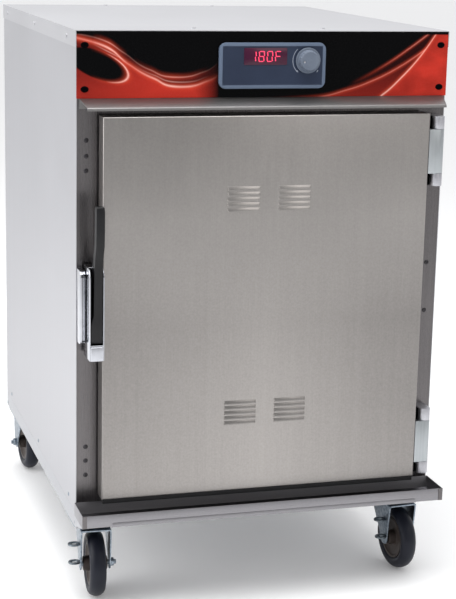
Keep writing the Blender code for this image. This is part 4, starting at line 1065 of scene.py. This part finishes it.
DIGIT_TALL, DIGIT_WIDE, DIGIT_PITCH, BAR, SLANT = 0.0180, 0.0095, 0.0158, 0.0016, 0.10
BARS = {                    # middle across and up in half digits, and whether the bar stands
    "top": (0, 1, False), "middle": (0, 0, False), "bottom": (0, -1, False),
    "upper_left": (-1, 0.5, True), "upper_right": (1, 0.5, True),
    "lower_left": (-1, -0.5, True), "lower_right": (1, -0.5, True)}
FIGURES = {
    "1": ("upper_right", "lower_right"),
    "8": tuple(BARS),
    "0": tuple(bar for bar in BARS if bar != "middle"),
    "F": ("top", "middle", "upper_left", "lower_left")}
bar = block("bar", (-DIGIT_WIDE / 2 + 0.0006, DIGIT_WIDE / 2 - 0.0006), (-0.00035, 0.0002),
            (-BAR / 2, BAR / 2))
with Bench(bar) as at:
    at.running("y")
    at.round(BAR * 0.45, 2)
lit = []
start_x = (window_low.x + window_high.x) / 2 - 1.5 * DIGIT_PITCH
for place, figure in enumerate("180F"):
    for part in FIGURES[figure]:
        across, rise_by, standing = BARS[part]
        z = rise_by * DIGIT_TALL / 2
        x = across * DIGIT_WIDE / 2 + SLANT * z
        spot = Matrix.Translation((start_x + place * DIGIT_PITCH + x, window_low.y,
                                   (window_low.z + window_high.z) / 2 + z))
        turn = Matrix.Rotation(pi / 2 - SLANT, 4, "Y") if standing else Matrix.Identity(4)
        lit.append(twin(bar, spot @ turn, "bar"))
bpy.data.objects.remove(bar)
show(joined("display_digits", lit), "cabinet", led, "window_plastic")

# %% [markdown]
# ## Dial
# The dial is turned: a thin skirt, a step, a fluted grip and a top with fine rings. Every
# second pair of faces round the grip is drawn in for the flutes. A shallow finger rest sits at
# one side, with a pale dot in it.

# %% Dial
knob_radius = (dial_high.x - dial_low.x) / 2
knob_tall = MODULE_FACE - 0.0003 - dial_low.y
grip_radius = knob_radius * 0.80
center = (dial_x, MODULE_FACE - 0.0003, dial_z)
steps = [(0, knob_radius - 0.0003), (0.0004, knob_radius), (0.0022, knob_radius),
         (0.0028, knob_radius - 0.0008), (0.0030, grip_radius + 0.0008),
         (0.0044, grip_radius), (knob_tall - 0.0020, grip_radius - 0.0004),
         (knob_tall - 0.0005, grip_radius - 0.0016), (knob_tall, grip_radius - 0.0030)]
for ring in (0.70, 0.62, 0.50, 0.42, 0.30, 0.22):
    deep = 0.0005 if len(steps) % 2 else 0.0001
    steps.append((knob_tall - deep, grip_radius * ring))
FLUTES, FLUTE_DRAWN = 20, 0.955
knob = lathe("dial", center, (0, -1, 0), steps, 4 * FLUTES)
with Bench(knob) as at:
    def in_flute(spot):
        return cos(FLUTES * atan2(spot.z - dial_z, spot.x - dial_x)) < -0.5

    at.pick("verts", lambda spot, way: spot.y < center[1] - 0.0038 and in_flute(spot)
            and (spot - Vector((dial_x, spot.y, dial_z))).length > grip_radius - 0.0019)
    at.scale(center, x=FLUTE_DRAWN, z=FLUTE_DRAWN)
stem = rod("stem", (dial_x, center[1] + 0.004, dial_z), 0.0029, 0.0095, AIM["y"], 16)
rest_spot = (dial_x - grip_radius * 0.56, center[1] - knob_tall, dial_z - 0.002)
carve(knob, lathe("dimple", rest_spot, (0, 1, 0),
                  [(-0.003, 0.0046), (0, 0.0040), (0.0010, 0.0022)], 24))
show(joined("dial", [knob, stem]), "knob", dial_plastic, "knob_plastic", "control_knob", angle=30)
dot = lathe("dial_dot", (rest_spot[0], rest_spot[1] + 0.0011, rest_spot[2]), (0, -1, 0),
            [(0, 0.0016), (0.0004, 0.0016), (0.0007, 0.0009)], 16)
show(dot, "knob", chrome, "knob_plastic")

# %% [markdown]
# ## Casters
# Every caster has a stamped zinc fork, an axle bolt with a hexagon nut, a moulded hub and a
# rubber tyre. Each is modelled once, straight, about the swivel's axis, and then copied to its
# place and set at the angle of the CAD fork. The tyre's round section is spun round the axle,
# and the hub is turned on the lathe. The front pair has a brake: two loops on an arm.

# %% Caster places
joints = {joint["name"]: joint for joint in frame["joints"]}
CORNERS = ("front_left", "front_right", "rear_left", "rear_right")
wheel_low, wheel_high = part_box("caster_wheel_front_left")
WHEEL = (wheel_high.z - wheel_low.z) / 2
TRAIL = 0.034
INSIDE, LEG = 0.0235, 0.003
FORK_TOP = 2 * WHEEL + 0.007
places = {}
for corner in CORNERS:
    pivot = Vector(joints[f"swivel_{corner}"]["pos_m"])
    axle = Vector(joints[f"roll_{corner}"]["pos_m"])
    back = Vector((pivot.x - axle.x, pivot.y - axle.y))
    swing = atan2(-back.x, back.y)
    places[corner] = (Matrix.Translation((pivot.x, pivot.y, 0)) @ Matrix.Rotation(swing, 4, "Z"))
    print(corner, "turned", round(swing * 180 / pi, 1), "degrees")

# %% Fork
OUT = INSIDE + LEG
leg_levels = [WHEEL - 0.012, WHEEL + 0.010, WHEEL + 0.030, WHEEL + 0.050]
CROWN_FRONT, CROWN_BACK, LEG_TAPER = -0.056, 0.030, 0.71
CROWN_MIDDLE = (CROWN_FRONT + CROWN_BACK) / 2
leg = [(-OUT, z) for z in (*leg_levels, FORK_TOP)]
fork = folded("fork", (-CROWN_BACK, -CROWN_FRONT), leg + [(-y, z) for y, z in reversed(leg)],
              LEG, 0.0001, 1)
fork.data.transform(Matrix.Rotation(-pi / 2, 4, "Z"))
with Bench(fork) as at:
    bpy.ops.mesh.remove_doubles(threshold=0.0004)
    for level in leg_levels:
        down = min(1, (FORK_TOP - level) / (FORK_TOP - WHEEL))
        at.pick("verts", lambda spot, way: abs(spot.z - level) < 0.0009)
        at.scale((0, CROWN_MIDDLE, level), y=1 - LEG_TAPER * down)
        at.move(y=-(TRAIL + CROWN_MIDDLE) * down)
    at.running("x", lambda spot: spot.z < WHEEL - 0.010)
    at.round(0.0100, 5)
    at.pick("edges", lambda spot, way: abs(way.y) > 0.7 and spot.z > FORK_TOP - 0.0045
            and abs(spot.x) > INSIDE - 0.001)
    at.round(0.0026, 3)
race = lathe("race", (0, 0, FORK_TOP - 0.0002), (0, 0, 1),
             [(0, 0.0300), (0.0012, 0.0300), (0.0024, 0.0290), (0.0030, 0.0262),
              (0.0047, 0.0262)], 40)
fork = soften(joined("fork", [fork, race]), 0.0005)

bolt = lathe("bolt", (0, -TRAIL, WHEEL), (1, 0, 0),
             [(-OUT - 0.0028, 0.0040), (-OUT - 0.0024, 0.0046), (OUT + 0.0003, 0.0046),
              (OUT + 0.0003, 0.0090), (OUT + 0.0012, 0.0090), (OUT + 0.0012, 0.0046),
              (OUT + 0.0138, 0.0044), (OUT + 0.0144, 0.0036)], 24)
nut = lathe("nut", (0, -TRAIL, WHEEL), (1, 0, 0),
            [(OUT + 0.0010, 0.0076), (OUT + 0.0016, 0.0088), (OUT + 0.0090, 0.0088),
             (OUT + 0.0098, 0.0076)], 6)
bolt = joined("bolt", [bolt, soften(nut, 0.0004)])

# %% Tyre and hub
put_down()
bpy.ops.mesh.primitive_circle_add(vertices=20, radius=1, location=(0, 0, 0),
                                  rotation=(pi / 2, 0, 0))
TYRE_DEEP, TYRE_WIDE = 0.0122, 0.0159
bpy.context.object.scale = (TYRE_WIDE, 1, 1)
tyre = named("tyre")
with Bench(tyre) as at:
    at.scale((0, 0, 0), z=TYRE_DEEP)
    at.move(z=WHEEL - TYRE_DEEP)
    bpy.ops.mesh.spin(steps=56, angle=2 * pi, center=(0, 0, 0), axis=(1, 0, 0))
    bpy.ops.mesh.select_all(action="SELECT")
    bpy.ops.mesh.remove_doubles(threshold=1e-5)
tyre.data.transform(Matrix.Translation((0, -TRAIL, WHEEL)))

RIM_IN, RIM_OUT = WHEEL - 2 * TYRE_DEEP - 0.0025, WHEEL - 2 * TYRE_DEEP + 0.0030
side = [(-0.0230, 0.0085), (-0.0230, 0.0128), (-0.0222, 0.0140), (-0.0085, 0.0152),
        (-0.0068, 0.0180), (-0.0062, 0.0225), (-0.0076, 0.0300), (-0.0102, 0.0345),
        (-0.0116, RIM_IN), (-0.0130, RIM_IN + 0.0008), (-0.0130, RIM_OUT)]
hub = lathe("hub", (0, -TRAIL, WHEEL), (1, 0, 0),
            side + [(-distance, radius) for distance, radius in reversed(side)], 48)

# %% Brake
PEDAL_REACH, PEDAL_HALF, PEDAL_THICK, PEDAL_RIM = 0.024, 0.0108, 0.0036, 0.0058
ROOT = OUT + 0.0016
levels = [(0, 0.042 - PEDAL_THICK / 2), (-0.008, 0.0068)]
loops = []
for y, level in levels:
    loop = rod("loop", (-ROOT - PEDAL_HALF, y, level), PEDAL_HALF, PEDAL_THICK, AIM["z"], 24)
    with Bench(loop) as at:
        at.pick("verts", lambda spot, way: spot.x < -ROOT - PEDAL_HALF - 1e-5)
        at.move(x=2 * PEDAL_HALF - PEDAL_REACH)
        at.pick("faces", lambda spot, way: abs(way.z) > 0.9)
        at.inset(PEDAL_RIM)
        bpy.ops.mesh.bridge_edge_loops()
    loops.append(soften(loop, 0.0011, 3))
arm = block("arm", (-ROOT - 0.0012, -ROOT + 0.0012), (-0.0078, 0.0078), (-0.0078, 0.0415))
with Bench(arm) as at:
    at.running("x")
    at.round(0.0062, 5)
arm = soften(arm, 0.0005)
brake = joined("brake", [arm, *loops])
brake.data.transform(Matrix.Translation((0, -TRAIL, WHEEL)))

# %% Every caster at its place
plate_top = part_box("caster_plate_front_left")[1].z
PLATE_BOLT = 0.034
head = lathe("head", (0, 0, 0), (0, 0, -1),
             [(-0.0002, 0.0060), (0.0030, 0.0060), (0.0036, 0.0052)], 6)
heads = repeated("heads", soften(head, 0.0003), [(x, y, plate_top - 0.004)
                                                 for x in (-PLATE_BOLT, PLATE_BOLT)
                                                 for y in (-PLATE_BOLT, PLATE_BOLT)])
for corner, place in places.items():
    show(twin(fork, place, f"fork_{corner}"), f"fork_{corner}", zinc, "zinc",
         f"caster_fork_{corner}")
    show(twin(bolt, place, f"axle_bolt_{corner}"), f"fork_{corner}", zinc, "zinc")
    show(twin(tyre, place, f"tyre_{corner}"), f"wheel_{corner}", tread_rubber, "wheel_tread",
         f"caster_wheel_{corner}")
    show(twin(hub, place, f"hub_{corner}"), f"wheel_{corner}", hub_plastic, "wheel_tread")
    if corner.startswith("front"):
        show(twin(brake, place, f"brake_{corner}"), f"brake_{corner}", worn_zinc, "zinc",
             f"caster_brake_{corner}")
    plate = soften(merged_copy(f"caster_plate_{corner}", f"caster_base_{corner}"), 0.0008)
    show(plate, "cabinet", zinc, "zinc", f"caster_plate_{corner}")
    middle = place.translation
    show(twin(heads, Matrix.Translation((middle.x, middle.y, 0)), f"plate_bolts_{corner}"),
         "cabinet", zinc, "zinc")
for model in (fork, bolt, tyre, hub, brake, heads):
    bpy.data.objects.remove(model)

# %% Floor
bpy.ops.object.select_all(action="DESELECT")
bpy.ops.mesh.primitive_plane_add(size=60, location=(0, 0, -0.0005))
floor = bpy.context.object
floor.name = "floor"
floor_paint = Finish("floor_paint", Emission_Color=(1, 1, 1, 1), Emission_Strength=0.10)
marble = floor_paint.noise(0.8, detail=2.0)
floor_paint.wear(Base_Color=floor_paint.mix(marble, (0.88, 0.88, 0.88), (0.92, 0.92, 0.92)),
                 Roughness=0.75 + 0.1 * marble)
floor.data.materials.append(floor_paint.material)
floor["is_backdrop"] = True

low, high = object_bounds()
print("size:", [round(b - a, 4) for a, b in zip(low, high)])
